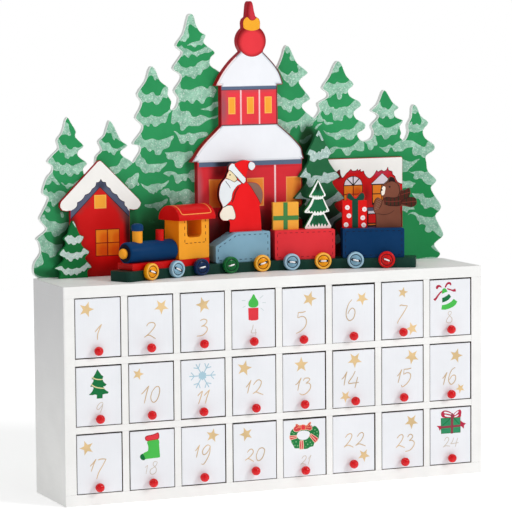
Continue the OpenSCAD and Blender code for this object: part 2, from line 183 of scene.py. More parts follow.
def painted(name, base, rough=0.42, tone=0.10, grain=0.25, edges=(), dark=None,
            specks=0.5, coat=0.0, stroke=(140, 900, 45), spec=0.16, airbrush_and_shade=()):
    """Brushed paint on wood: slow tone drift, brush marks, small pin holes and rubs; optional oval patches add
    airbrushing and painted shade.
    """
    t = Tree(name)
    c = under_gloss(srgb(base))
    lo = tuple(x * (1 - tone) for x in c[:3]) + (1,)
    hi = tuple(min(1, x * (1 + tone * 0.6) + 0.004) for x in c[:3]) + (1,)
    drift = t.noise(26, 3, 0.55)
    colour = t.mix(t.span(drift, 0.35, 0.68, 0, 1, True), lo, hi)
    if edges:
        d = under_gloss(srgb(dark)) if dark else tuple(x * 0.3 for x in c[:3]) + (1,)
        colour = shaded(t, colour, d, edges)
    if airbrush_and_shade:
        colour = airbrush_and_shade_patches(t, colour, under_gloss(srgb(dark)), airbrush_and_shade)
    brush = t.noise(1.0, 3, 0.6, t.stretch(*stroke))
    fine = t.noise(1400, 2, 0.5)
    colour = t.mix(t.span(brush, 0.3, 0.75, 0.0, 0.10), colour,
                   tuple(x * 0.82 for x in c[:3]) + (1,))
    pin = t.span(t.noise(620, 1, 0.4), 0.735, 0.77, 0, specks)
    colour = t.mix(pin, colour, tuple(x * 0.55 + 0.01 for x in c[:3]) + (1,))
    rub = t.math("MULTIPLY", t.span(t.noise(75, 4, 0.7), 0.66, 0.74, 0, 0.35),
                 t.span(fine, 0.45, 0.6, 0.2, 1))
    colour = t.mix(rub, colour, tuple(min(1, x * 1.12 + 0.012) for x in c[:3]) + (1,))
    r = t.math("ADD", t.span(brush, 0.25, 0.8, rough - 0.07, rough + 0.09),
               t.span(fine, 0.2, 0.8, -0.04, 0.05))
    n = t.bump(brush, grain, 0.00012)
    n = t.bump(fine, grain * 0.7, 0.00004, n)
    t.bsdf.inputs["Specular IOR Level"].default_value = spec
    if coat:
        t.bsdf.inputs["Coat Weight"].default_value = coat
        t.bsdf.inputs["Coat Roughness"].default_value = 0.18
    return finish_tree(t, colour, r, n)


def glitter(name, base, dim, rough=0.62, amount=1.0, size=1050, dark=None, airbrush_and_shade=()):
    """Sponged snow paint with fine glitter grains; the brightest grains are painted glints, and optional oval patches
    add painted shade.
    """
    t = Tree(name)
    soft = t.noise(210, 4, 0.7)
    patch = t.noise(60, 3, 0.6)
    colour = t.mix(t.span(soft, 0.36, 0.66, 0, 1), srgb(dim), srgb(base))
    colour = t.mix(t.span(patch, 0.40, 0.72, 0, 0.38), colour, srgb(dim))
    v = t.cells(size)
    grain = t.add("ShaderNodeSeparateColor")
    t.link(v.outputs["Color"], grain.inputs[0])
    # Random grains pushed towards near white: painted glints of the glitter.
    painted_glint = t.span(grain.outputs[0], 0.80, 0.97, 0, 0.75 * amount)
    colour = t.mix(painted_glint, colour, srgb("#f6fbf8"))
    dull = t.span(grain.outputs[1], 0.82, 0.98, 0, 0.30 * amount)
    colour = t.mix(dull, colour, srgb("#8e9a95"))
    if airbrush_and_shade:
        colour = airbrush_and_shade_patches(t, colour, srgb(dark), airbrush_and_shade)
    r = t.span(grain.outputs[2], 0.0, 1.0, rough - 0.28, rough + 0.18)
    n = t.bump(v.outputs["Distance"], 0.35 * amount, 0.0003)
    n = t.bump(soft, 0.5, 0.00035, n)
    return finish_tree(t, colour, r, n)


def bare_wood(name, base, dark, along=0, rough=0.6):
    """Unpainted plywood with fine growth lines."""
    t = Tree(name)
    scale = [420, 420, 420]
    scale[along] = 22
    g = t.noise(1.0, 5, 0.65, t.stretch(*scale), 0.6)
    colour = t.mix(t.span(g, 0.35, 0.7, 0, 1), srgb(base), srgb(dark))
    pore_scale = [1500, 1500, 1500]
    pore_scale[along] = 90
    pore = t.noise(1.0, 2, 0.5, t.stretch(*pore_scale))
    colour = t.mix(t.span(pore, 0.62, 0.75, 0, 0.4), colour, tuple(x * 0.6 for x in srgb(dark)[:3]) + (1,))
    r = t.span(g, 0.3, 0.7, rough, rough + 0.15)
    n = t.bump(pore, 0.3, 0.0001)
    n = t.bump(g, 0.25, 0.00015, n)
    return finish_tree(t, colour, r, n)


def thread_mat(name, base):
    t = Tree(name)
    w = t.noise(2600, 2, 0.6)
    colour = t.mix(t.span(w, 0.35, 0.7, 0, 1), tuple(x * 0.95 for x in srgb(base)[:3]) + (1,), srgb(base))
    r = t.span(w, 0.2, 0.8, 0.75, 0.95)
    n = t.bump(w, 0.6, 0.0002)
    return finish_tree(t, colour, r, n)


def lacquer(name, base, rough=0.16, tone=0.06):
    """Thick glossy lacquer on a turned ball: slight sag, dust and hairline scuffs."""
    t = Tree(name)
    c = srgb(base)
    drift = t.noise(240, 3, 0.5)
    colour = t.mix(t.span(drift, 0.3, 0.7, 0, 1), tuple(x * (1 - tone) for x in c[:3]) + (1,),
                   tuple(min(1, x * (1 + tone)) for x in c[:3]) + (1,))
    scuff = t.noise(1.0, 3, 0.6, t.stretch(300, 300, 2400))
    r = t.span(scuff, 0.45, 0.8, rough, rough + 0.22)
    n = t.bump(drift, 0.12, 0.0003)
    n = t.bump(t.noise(1700, 1, 0.5), 0.1, 0.00003, n)
    t.bsdf.inputs["Specular IOR Level"].default_value = 0.22
    t.bsdf.inputs["Coat Weight"].default_value = 0.16
    t.bsdf.inputs["Coat Roughness"].default_value = 0.10
    return finish_tree(t, colour, r, n)


M = {}
# Both cabinet paints darken towards the top at the cabinet's left end (x = -201): painted shade on the left side.
M["white"] = painted("cabinet_paint", "#eeeeec", 0.40, 0.025, 0.30, specks=0.12, stroke=(30, 260, 700), dark="#c4c4c6",
                     airbrush_and_shade=(("in", -201, 196, 3, 200, 0.15, 0.8, "#c4c4c6"),))
M["white_side"] = painted("cabinet_side_paint", "#eeeeec", 0.42, 0.03, 0.35, specks=0.15, stroke=(260, 30, 700), dark="#c4c4c6",
                          airbrush_and_shade=(("in", -201, 196, 3, 200, 0.15, 0.8, "#c4c4c6"),))
M["white_back"] = painted("back_panel_paint", "#e9e8e3", 0.55, 0.02, 0.35, specks=0.3)
M["front"] = painted("drawer_front_paint", "#e7e9ed", 0.36, 0.02, 0.22, specks=0.10, stroke=(700, 200, 35))
M["ply"] = bare_wood("tray_plywood", "#e0c49a", "#c39a66", 1)
M["ply_x"] = bare_wood("tray_plywood_across", "#e0c49a", "#c39a66", 0)
M["knob"] = lacquer("knob_lacquer", "#d60712")
M["gold"] = painted("gold_line_paint", "#cfb38e", 0.38, 0.2, 0.2, specks=0.0)
M["gold_pale"] = painted("pale_line_paint", "#cabfb3", 0.4, 0.08, 0.2, specks=0.0)
M["star"] = painted("star_paint", "#dfc190", 0.38, 0.15, 0.25, specks=0.1)
M["art_lime"] = painted("art_lime_paint", "#4dba52", 0.42, 0.06, 0.2, specks=0.1)
M["art_green"] = painted("art_green_paint", "#1d7040", 0.42, 0.08, 0.2, specks=0.1)
M["art_red"] = painted("art_red_paint", "#df3d47", 0.42, 0.08, 0.2, specks=0.1)
M["art_crimson"] = painted("art_crimson_paint", "#b52f49", 0.42, 0.10, 0.2, specks=0.1)
M["art_blue"] = painted("art_blue_paint", "#a5c4d2", 0.42, 0.06, 0.2, specks=0.1)
M["art_orange"] = painted("art_orange_paint", "#f0a878", 0.42, 0.06, 0.2, specks=0.1)
M["art_grey"] = painted("art_ray_paint", "#c3cfd0", 0.42, 0.04, 0.2, specks=0.0)
M["art_pale"] = painted("art_garland_paint", "#dcd3a0", 0.42, 0.05, 0.2, specks=0.0)
M["art_cream"] = painted("art_cream_paint", "#f2cdb4", 0.42, 0.05, 0.2, specks=0.0)
M["art_maroon"] = painted("art_maroon_paint", "#8d3f4c", 0.42, 0.08, 0.2, specks=0.1)
M["art_edge"] = painted("art_dark_red_edge", "#ac2c34", 0.42, 0.08, 0.2, specks=0.0)
M["gift_art_green"] = painted("art_gift_green", "#358a60", 0.42, 0.10, 0.2, specks=0.1)
M["wreath_green"] = painted("art_wreath_green", "#2a7c44", 0.42, 0.12, 0.25, specks=0.1)
M["wreath_dot"] = painted("art_wreath_berry", "#79b07c", 0.42, 0.08, 0.2, specks=0.0)
M["bow_red"] = painted("art_bow_red", "#cc4249", 0.42, 0.08, 0.2, specks=0.1)

# Painted shade and painted shadows on the forest board and its snow, where the house, tower, pines and train block the
# light.
SHADE = (("in", -167, 214, 18, 46, 0.35, 0.95), ("in", -90, 224, 25, 42, 0.35, 0.86), ("in", -108, 224, 7, 34, 0.2, 0.8),
         ("in", -173, 256, 13, 22, 0.2, 0.45), ("in", -179, 222, 7, 16, 0.1, 0.7), ("in", -84, 256, 14, 14, 0.0, 0.3),
         ("in", -66, 236, 30, 30, 0.3, 0.55), ("in", -120, 250, 16, 16, 0.1, 0.35),
         ("in", -30, 334, 5, 26, 0.2, 0.45), ("in", -55, 286, 5, 30, 0.1, 0.4),
         ("in", 62, 299, 13, 26, 0.5, 0.97), ("in", 47, 314, 12, 6, 0.2, 0.15),
         ("in", 100, 222, 60, 34, 0.4, 0.8), ("in", -196, 193, 30, 9, 0.3, 0.5),
         ("in", -150, 262, 26, 9, 0.2, 0.35))
# The two extra ovals on the right and left darken the green towards the board's sides: painted light falloff.
M["forest"] = painted("forest_green_paint", "#309259", 0.50, 0.08, 0.35, specks=0.2,
                      dark="#02301a", airbrush_and_shade=SHADE + (("in", 192, 240, 66, 112, 0.0, 0.8, "#178044"),
                                                      ("in", -188, 238, 48, 66, 0.0, 0.14)))
M["forest_edge"] = painted("forest_edge_paint", "#e6ebe7", 0.55, 0.06, 0.4, specks=0.4)
M["forest_back"] = painted("forest_back_paint", "#2b7c4c", 0.6, 0.12, 0.4, specks=0.5)
# The snow takes the same painted shade, with a weaker painted falloff towards the sides.
M["snow"] = glitter("forest_snow_glitter", "#a4d8bd", "#79ae93", 0.66, 0.62, 1250,
                    dark="#1f4a36", airbrush_and_shade=SHADE + (("in", 192, 240, 62, 112, 0.0, 0.18),
                                                    ("in", -188, 238, 48, 66, 0.0, 0.12)))
M["pine"] = painted("pine_green_paint", "#06743d", 0.50, 0.12, 0.35, specks=0.2)
M["pine_snow"] = glitter("pine_snow_glitter", "#d2e4dd", "#b9d2ca", 0.66, 0.7, 1000)
M["tree_white"] = painted("wagon_tree_white_paint", "#f6f8f5", 0.5, 0.04, 0.3, specks=0.05)
# Painted shade on the lower half of the big pine, behind and between the wagons.
DIM = (("in", 68, 206, 60, 62, 0.42, 0.9), ("in", 53, 262, 12, 12, 0.1, 0.6),
       ("in", 84, 236, 26, 26, 0.5, 0.5))
M["big_pine"] = painted("big_pine_green_paint", "#2c6c46", 0.50, 0.12, 0.35, specks=0.2,
                        dark="#03140e", airbrush_and_shade=DIM)
M["big_snow"] = glitter("big_pine_snow_glitter", "#bcd6cf", "#98b8b0", 0.66, 0.7, 1000,
                        dark="#3c4a4c", airbrush_and_shade=DIM)
M["tree_green"] = painted("wagon_tree_green_paint", "#246c48", 0.50, 0.12, 0.35, specks=0.2,
                          dark="#1a2e20", airbrush_and_shade=(("in", 60, 264, 4, 8, 0.2, 0.8), ("in", 60, 234, 7, 6, 0.2, 0.45)))
M["roof_snow"] = painted("roof_snow_paint", "#eef0f5", 0.5, 0.02, 0.3, specks=0.05)
M["snow_mid"] = painted("roof_snow_soft_grey", "#dfe2e8", 0.5, 0.03, 0.3, specks=0.05)
M["snow_rim"] = painted("roof_snow_grey_rim", "#a4a7ad", 0.5, 0.04, 0.3, specks=0.05)
M["house_snow"] = painted("house_snow_paint", "#f5f3ef", 0.5, 0.03, 0.3, specks=0.1)

M["red_edge"] = painted("board_edge_red", "#b0182c", 0.42, 0.10, 0.35, specks=0.2)
# Ovals left of Santa, in the gap between tender and red wagon, along the bottom behind the train and at the big pine
# are painted shadows and painted shade; the greyish pink band at the left edge and the strip under the roof copy the
# tower's airbrushing.
M["tower_low"] = painted("tower_low_red", "#d9333c", 0.36, 0.06, 0.25, specks=0.1, dark="#4a0207",
                         airbrush_and_shade=(("in", -27, 281, 14, 14, 0.15, 0.9), ("in", -33, 262, 8, 22, 0.2, 0.4),
                                 ("in", -48.5, 264, 7, 30, 0.0, 0.7, "#9a7078"), ("in", 0, 214, 76, 40, 0.5, 0.97),
                                 ("in", 20, 246, 11, 14, 0.1, 0.7), ("in", 53, 262, 8, 20, 0.15, 0.85),
                                 ("in", 3, 284, 90, 4, 0.0, 0.4)))
M["tower_drum"] = painted("tower_drum_red", "#e8404a", 0.36, 0.05, 0.25, specks=0.1, dark="#9c5a63",
                          airbrush_and_shade=(("in", -24, 336, 8, 28, 0.1, 0.9), ("in", 2, 352, 50, 5, 0.0, 0.5),
                                  ("in", 30, 336, 3.5, 26, 0.1, 0.8), ("in", 2, 319, 50, 4, 0.0, 0.6)))
M["tower_ball"] = painted("tower_ball_red", "#e94048", 0.32, 0.05, 0.2, specks=0.05, dark="#70141c",
                          airbrush_and_shade=(("out", 4.9, 393.6, 14.6, 14.6, 0.62, 0.9),))
M["spike"] = painted("tower_spike_red", "#cd3a46", 0.36, 0.06, 0.2, specks=0.05, dark="#7b0f19",
                     airbrush_and_shade=(("out", 6.2, 420, 6, 16, 0.3, 0.9),))
M["tower_dark"] = painted("tower_top_dark_red", "#9c1722", 0.36, 0.08, 0.2, specks=0.05)
M["gold_band"] = painted("tower_gold_paint", "#f7ae35", 0.38, 0.05, 0.25, specks=0.05)
# The two ovals on the tower's slate band, left of Santa's hat, are his painted shadow.
M["slate"] = painted("slate_blue_paint", "#5c6c86", 0.45, 0.06, 0.25, specks=0.1, dark="#1a1226",
                     airbrush_and_shade=(("in", -24, 286, 12, 9, 0.3, 0.95), ("in", -10, 289, 20, 4, 0.2, 0.6)))
M["slate_dark"] = painted("slate_dark_paint", "#5a6078", 0.45, 0.08, 0.25, specks=0.1, dark="#262433",
                          airbrush_and_shade=(("in", -139, 270, 7, 6, 0.2, 0.6), ("in", -113, 244, 6, 7, 0.2, 0.5)))
M["slate_line"] = painted("dark_line_paint", "#2a2633", 0.45, 0.08, 0.2, specks=0.0)
# Pale pink line along the left edges of the tower's dome and low roof: painted highlight.
M["rim_light"] = painted("roof_rim_painted_highlight", "#f9e2df", 0.45, 0.04, 0.2, specks=0.0)
M["rim_dark"] = painted("roof_rim_dark", "#4b484c", 0.45, 0.06, 0.2, specks=0.0)
M["brown_line"] = painted("brown_line_paint", "#5a3638", 0.45, 0.08, 0.2, specks=0.0)
M["yellow_win"] = painted("window_yellow_paint", "#f7a83c", 0.42, 0.05, 0.2, specks=0.05)
M["yellow_rim"] = painted("window_yellow_rim", "#fbbd5e", 0.42, 0.05, 0.2, specks=0.0)
# The ovals at the left and right windows are painted shadows of Santa and the big pine, and the one low on the middle
# window is painted shade behind Santa's sack; the soft one at the left window's edge copies its airbrushed gradient.
M["low_win"] = painted("tower_window_paint", "#f0923a", 0.42, 0.06, 0.2, specks=0.05, dark="#a01c02",
                       airbrush_and_shade=(("in", -28, 256, 13, 20, 0.2, 0.75), ("in", -38, 262, 8, 26, 0.6, 0.3),
                               ("in", 52, 257, 10, 18, 0.25, 0.85), ("in", 5, 248, 12, 9, 0.2, 0.7)))
M["low_rim"] = painted("tower_window_rim", "#f5a45c", 0.42, 0.06, 0.2, specks=0.0, dark="#a03008",
                       airbrush_and_shade=(("in", -30, 258, 15, 22, 0.3, 0.9), ("in", 52, 257, 10, 18, 0.3, 0.8)))
M["pane_top"] = painted("house_window_upper", "#f58a28", 0.42, 0.06, 0.2, specks=0.05, dark="#ea6206",
                        airbrush_and_shade=(("in", -136.5, 223, 7, 9, 0.3, 0.9), ("in", -124.5, 223, 7, 9, 0.3, 0.9)))
M["pane_low"] = painted("house_window_lower", "#ea7014", 0.42, 0.06, 0.2, specks=0.05, dark="#dc4e03",
                        airbrush_and_shade=(("in", -137, 212, 8, 9, 0.3, 0.95), ("in", -126, 212, 8, 9, 0.3, 0.95)))
M["pane_line"] = painted("window_bar_paint", "#8c2408", 0.42, 0.06, 0.2, specks=0.0)
M["shop_win"] = painted("shop_window_paint", "#ee8428", 0.42, 0.06, 0.2, specks=0.05, dark="#d85605",
                        airbrush_and_shade=(("in", 110, 254, 8, 9, 0.3, 0.9), ("in", 101, 246, 8, 6, 0.2, 0.7)))
M["white_line"] = painted("white_line_paint", "#f6dedd", 0.45, 0.04, 0.2, specks=0.0)
M["pink_line"] = painted("pink_line_paint", "#ee8f96", 0.45, 0.04, 0.2, specks=0.0)
M["fan_white"] = painted("fan_window_paint", "#e6dde6", 0.45, 0.04, 0.2, specks=0.0)
# Dark red for the house's and shop's right edge faces: painted shade in place of the lit edge.
M["edge_shade"] = painted("board_edge_painted_shade", "#5a2424", 0.5, 0.05, 0.25, specks=0.1)
# The brown ovals along the right edge and under the slate copy the house's airbrushed edges; the wide oval at the
# bottom, behind the locomotive, is painted shade.
M["house_red"] = painted("house_wall_red", "#d4050e", 0.38, 0.05, 0.25, specks=0.1, dark="#30070b",
                         airbrush_and_shade=(("in", -111, 232, 9, 36, 0.45, 0.95, "#2e1d1b"), ("in", -116, 245, 9, 12, 0.2, 0.7, "#54413f"),
                                 ("in", -169, 236, 10, 20, 0.15, 0.9), ("in", -126, 256, 7, 8, 0.0, 0.5, "#54413f"),
                                 ("in", -121, 250, 7, 7, 0.0, 0.6, "#54413f"), ("in", -153, 256, 7, 8, 0.0, 0.45, "#54413f"),
                                 ("in", -160, 250, 7, 7, 0.0, 0.5, "#54413f"), ("in", -139, 268, 7, 6, 0.0, 0.4, "#54413f"), ("in", -136, 186, 40, 26, 0.1, 0.5)))
# The dark ovals at the right edge beside the bear are partly the wall's airbrushed edge and partly the bear's painted
# shadow; those between the big pine and the blue wagon and along the bottom behind the wagons are painted shade; the
# pink ovals under the snow are the wall's own tint.
M["shop_red"] = painted("shop_wall_red", "#cf1520", 0.38, 0.05, 0.25, specks=0.1, dark="#4c0409",
                        airbrush_and_shade=(("in", 156, 216, 6, 46, 0.35, 0.9, "#40231d"), ("in", 89, 206, 13, 34, 0.55, 0.93, "#130608"),
                                ("in", 84, 236, 12, 26, 0.2, 0.9), ("in", 119, 254, 5, 12, 0.0, 0.45),
                                ("in", 105, 228, 60, 12, 0.2, 0.6), ("in", 132, 274, 18, 8, 0.2, 0.75, "#c13a58"),
                                ("in", 106, 276, 12, 4, 0.1, 0.5, "#c13a58"), ("in", 91, 272, 5, 8, 0.1, 0.8, "#7e1834")))
M["shop_line"] = painted("shop_line_paint", "#260a14", 0.42, 0.08, 0.2, specks=0.0)
M["shop_orange"] = painted("shop_orange_line", "#e07a2c", 0.42, 0.08, 0.2, specks=0.0)
M["dark_red"] = painted("dark_red_paint", "#6e0a12", 0.42, 0.08, 0.25, specks=0.05)
M["edge_dark"] = painted("figure_edge_paint", "#35090c", 0.45, 0.10, 0.3, specks=0.1)
# Raw board, darker than bare board so the gaps round the drawer fronts read dark: partly painted shade.
M["raw_board_and_shade"] = bare_wood("raw_board_darkened_as_shade", "#5c4a38", "#3f3125", 1, 0.75)

M["strip"] = painted("track_strip_green", "#0d3e35", 0.38, 0.14, 0.3, specks=0.3, stroke=(90, 90, 900))
M["chassis"] = painted("chassis_red", "#d01018", 0.38, 0.08, 0.25, specks=0.15)
M["roof_red"] = painted("cab_roof_red", "#cf150f", 0.34, 0.06, 0.25, specks=0.15, stroke=(50, 600, 600))
M["navy"] = painted("navy_paint", "#003e66", 0.42, 0.10, 0.28, specks=0.15, spec=0.06)
M["yellow"] = painted("yellow_paint", "#f7a42f", 0.38, 0.05, 0.25, specks=0.15)
# A darker orange copy of the yellow for the cab's left side: painted shade.
M["cab_side"] = painted("cab_side_painted_shade", "#f98c22", 0.38, 0.05, 0.25, specks=0.15)
M["chimney_yellow"] = painted("chimney_yellow_paint", "#ec9a2b", 0.38, 0.06, 0.25, specks=0.15)
# A darker copy of the navy for the boiler's front face: painted shade.
M["navy_front_shade"] = painted("boiler_front_painted_shade", "#02172c", 0.40, 0.10, 0.28, specks=0.1, spec=0.1)
M["tender"] = painted("tender_grey_blue", "#82abc0", 0.42, 0.06, 0.28, specks=0.15)
M["wagon"] = painted("wagon_red_paint", "#e4383f", 0.42, 0.05, 0.28, specks=0.15)
M["light_blue"] = painted("button_light_blue", "#86b0c6", 0.34, 0.05, 0.2, specks=0.15, coat=0.12)
M["btn_green"] = painted("button_green", "#0f6a38", 0.34, 0.06, 0.2, specks=0.15, coat=0.12)
M["btn_yellow"] = painted("button_yellow", "#f8a41e", 0.34, 0.05, 0.2, specks=0.15, coat=0.12)
M["btn_navy"] = painted("button_navy", "#003358", 0.34, 0.06, 0.2, specks=0.15, coat=0.08)
M["btn_red"] = painted("button_red", "#d2121b", 0.34, 0.06, 0.2, specks=0.15, coat=0.12)
# Lighter copies of the yellow and light blue for the buttons' raised rims: painted highlight.
M["btn_yellow_rim"] = painted("button_yellow_rim_painted_highlight", "#ffc055", 0.34, 0.05, 0.2, specks=0.0, coat=0.12)
M["light_blue_rim"] = painted("button_blue_rim_painted_highlight", "#a9cbdd", 0.34, 0.05, 0.2, specks=0.0, coat=0.12)
# Dark ring in the buttons' groove and dark spots at the thread holes: painted shade.
M["groove"] = painted("button_groove_painted_shade", "#2b1a10", 0.5, 0.1, 0.2, specks=0.0)
M["groove_dark"] = painted("button_hole_and_groove_painted_shade", "#08202a", 0.5, 0.1, 0.2, specks=0.0)
M["thread"] = thread_mat("white_thread", "#ffffff")
M["stitch_y"] = painted("stitch_brown", "#7d3a1c", 0.45, 0.06, 0.2, specks=0.0)
M["stitch_yellow"] = painted("stitch_yellow", "#f7a155", 0.45, 0.06, 0.2, specks=0.0)
M["stitch_dark"] = painted("stitch_dark_blue", "#16283f", 0.45, 0.06, 0.2, specks=0.0)
M["stitch_navy"] = painted("stitch_navy", "#05162c", 0.45, 0.06, 0.2, specks=0.0)
M["stitch_red"] = painted("stitch_red", "#9c1c28", 0.45, 0.06, 0.2, specks=0.0)

M["santa_red"] = painted("santa_red_paint", "#ec1a22", 0.42, 0.04, 0.25, specks=0.1)
M["santa_white"] = painted("santa_white_paint", "#e6ebee", 0.5, 0.03, 0.35, specks=0.05)
M["mitt"] = painted("santa_mitt_paint", "#f5ecdc", 0.5, 0.04, 0.3, specks=0.05)
M["santa_grey"] = painted("santa_line_paint", "#5d5c5e", 0.5, 0.06, 0.2, specks=0.0)
M["contour"] = painted("contour_paint", "#2b1214", 0.5, 0.06, 0.2, specks=0.0)
M["skin"] = painted("santa_face_paint", "#ecdcb2", 0.48, 0.05, 0.2, specks=0.05)
M["sack"] = painted("sack_brown_paint", "#88665a", 0.5, 0.10, 0.3, specks=0.2)
M["crease"] = painted("crease_paint", "#8c1018", 0.45, 0.05, 0.2, specks=0.0)
M["black"] = painted("small_black_paint", "#1b1512", 0.35, 0.05, 0.1, specks=0.0)
M["gift_yellow"] = painted("gift_yellow_paint", "#f8b146", 0.42, 0.05, 0.25, specks=0.1)
M["gift_green"] = painted("gift_ribbon_green", "#4c8c50", 0.42, 0.08, 0.25, specks=0.1)
M["gift_red"] = painted("gift_red_paint", "#e1161c", 0.42, 0.05, 0.25, specks=0.1)
M["dot_white"] = painted("gift_dot_paint", "#fbeaea", 0.45, 0.03, 0.2, specks=0.0)
M["dot_pink"] = painted("gift_dot_centre", "#efc7c8", 0.45, 0.03, 0.2, specks=0.0)
M["gift_dark"] = painted("gift_ribbon_dark", "#1d4a3b", 0.42, 0.08, 0.25, specks=0.1)
M["bear"] = painted("bear_brown_paint", "#7e4c3c", 0.55, 0.16, 0.4, specks=0.3, stroke=(900, 300, 300))
M["bear_dark"] = painted("bear_dark_paint", "#2d1610", 0.5, 0.1, 0.3, specks=0.1)
M["muzzle"] = painted("bear_muzzle_paint", "#f6ecdf", 0.5, 0.06, 0.2, specks=0.05)
M["scarf"] = painted("scarf_paint", "#552b24", 0.5, 0.14, 0.35, specks=0.2)
M["fur_line"] = painted("bear_fur_line", "#a4846f", 0.5, 0.06, 0.2, specks=0.0)
M["scarf_line"] = painted("scarf_line_paint", "#2b3326", 0.5, 0.1, 0.3, specks=0.0)
M["scarf_pale"] = painted("scarf_pale_line", "#7d3a31", 0.5, 0.1, 0.3, specks=0.0)

# ------------------------------------------------------------------ 2D helpers


def bend(a, b, c, d, t):
    return tuple(0.5 * (2 * b[i] + (c[i] - a[i]) * t
                        + (2 * a[i] - 5 * b[i] + 4 * c[i] - d[i]) * t * t
                        + (3 * b[i] - a[i] - 3 * c[i] + d[i]) * t ** 3) for i in (0, 1))


def loop(p, n=3):
    """Closed smooth line through the points."""
    m = len(p)
    return [bend(p[i - 1], p[i], p[(i + 1) % m], p[(i + 2) % m], k / n)
            for i in range(m) for k in range(n)]


def run(p, n=4):
    """Open smooth line through the points."""
    m = len(p)
    out = [bend(p[max(i - 1, 0)], p[i], p[i + 1], p[min(i + 2, m - 1)], k / n)
           for i in range(m - 1) for k in range(n)]
    return out + [tuple(p[-1])]


def moved(p, du, dv):
    return [(x + du, y + dv) for x, y in p]


def ribbon(p, width, taper=0.0, smooth=4):
    """Outline of a brush line of that width along the points."""
    q = run(p, smooth) if smooth and len(p) > 2 else [tuple(a) for a in p]
    left, right = [], []
    m = len(q)
    for i, a in enumerate(q):
        b0, b1 = q[max(i - 1, 0)], q[min(i + 1, m - 1)]
        dx, dy = b1[0] - b0[0], b1[1] - b0[1]
        length = math.hypot(dx, dy) or 1.0
        k = i / (m - 1)
        w = width / 2 * (1 - taper * abs(2 * k - 1) ** 3)
        nx, ny = -dy / length * w, dx / length * w
        left.append((a[0] + nx, a[1] + ny))
        right.append((a[0] - nx, a[1] - ny))
    return right + left[::-1]


def dashes(a, b, dash, gap, width, free=0.0):
    """Painted stitches on the straight line from a to b, the corners left free."""
    length = math.hypot(b[0] - a[0], b[1] - a[1])
    k = free / length
    a, b = ((a[0] + (b[0] - a[0]) * k, a[1] + (b[1] - a[1]) * k),
            (b[0] + (a[0] - b[0]) * k, b[1] + (a[1] - b[1]) * k))
    length -= 2 * free
    n = max(1, int((length + gap) / (dash + gap)))
    pitch = (length - dash) / max(1, n - 1) if n > 1 else 0
    ux, uy = (b[0] - a[0]) / length, (b[1] - a[1]) / length
    out = []
    for i in range(n):
        s = i * pitch
        p = (a[0] + ux * s, a[1] + uy * s)
        q = (a[0] + ux * (s + dash), a[1] + uy * (s + dash))
        out.append(ribbon([p, q], width, 0, 0))
    return out


def disc(u, v, r, n=20, squash=1.0, turn=0.0):
    t = math.radians(turn)
    out = []
    for k in range(n):
        a = 2 * math.pi * k / n
        x, y = r * math.cos(a), r * squash * math.sin(a)
        out.append((u + x * math.cos(t) - y * math.sin(t), v + x * math.sin(t) + y * math.cos(t)))
    return out


def box2(u0, u1, v0, v1):
    return [(u0, v0), (u1, v0), (u1, v1), (u0, v1)]


def star(u, v, r, rot):
    """Five slim, slightly hollow points round a full body."""
    out = []
    for k in range(5):
        for da, q in ((-36, 0.50), (-10, 0.76), (0, 1.16), (10, 0.76)):
            a = math.radians(rot + 72 * k + da)
            out.append((u + q * r * math.cos(a), v + q * r * math.sin(a)))
    return out


def area(p):
    return 0.5 * sum(p[i - 1][0] * p[i][1] - p[i][0] * p[i - 1][1] for i in range(len(p)))


def wound(x, y, poly):
    """Winding number of the outline round the point."""
    w = 0
    x0, y0 = poly[-1]
    for x1, y1 in poly:
        if y0 <= y:
            if y1 > y and (x1 - x0) * (y - y0) - (x - x0) * (y1 - y0) > 0:
                w += 1
        elif y1 <= y and (x1 - x0) * (y - y0) - (x - x0) * (y1 - y0) < 0:
            w -= 1
        x0, y0 = x1, y1
    return w


def inset(p, d):
    """The outline drawn in by d (simple mitre, limited)."""
    if area(p) < 0:
        p = p[::-1]
    out = []
    m = len(p)
    for i in range(m):
        a, b, c = p[i - 1], p[i], p[(i + 1) % m]
        e0 = Vector((b[0] - a[0], b[1] - a[1]))
        e1 = Vector((c[0] - b[0], c[1] - b[1]))
        if e0.length < 1e-6 or e1.length < 1e-6:
            continue
        e0.normalize()
        e1.normalize()
        n0, n1 = Vector((-e0.y, e0.x)), Vector((-e1.y, e1.x))
        n = n0 + n1
        if n.length < 1e-6:
            n = n0
        n.normalize()
        k = d / max(0.5, n.dot(n0))
        out.append((b[0] + n.x * k, b[1] + n.y * k))
    return out


def cut(p, v0, v1):
    """The part of the outline that lies between the heights v0 and v1."""
    for limit, sign in ((v0, 1), (v1, -1)):
        out = []
        for i in range(len(p)):
            a, b = p[i - 1], p[i]
            da, db = (a[1] - limit) * sign, (b[1] - limit) * sign
            if (da < 0) != (db < 0):
                k = da / (da - db)
                out.append((a[0] + (b[0] - a[0]) * k, limit))
            if db >= 0:
                out.append(b)
        p = out
    return p


# ------------------------------------------------------------------ places

TX, TY, MID = 2.0, -292.0, 308.0


def on_front(y, out=0.0):
    """Place on a flat face that looks towards -Y at y millimetres."""
    return lambda u, v, h: Vector((u, y - h, v)) * MM


def on_track(a, turn, r):
    """Place on the front face, at radius r, of a block that stands on the strip."""
    a, b = math.radians(a), math.radians(turn)
    ox, oy = TX + MID * math.sin(a), TY + MID * math.cos(a)
    tx, ty, nx, ny = math.cos(b), -math.sin(b), math.sin(b), math.cos(b)

    def place(u, v, h):
        k = r - h - MID
        return Vector((ox + tx * u + nx * k, oy + ty * u + ny * k, v)) * MM
    return place


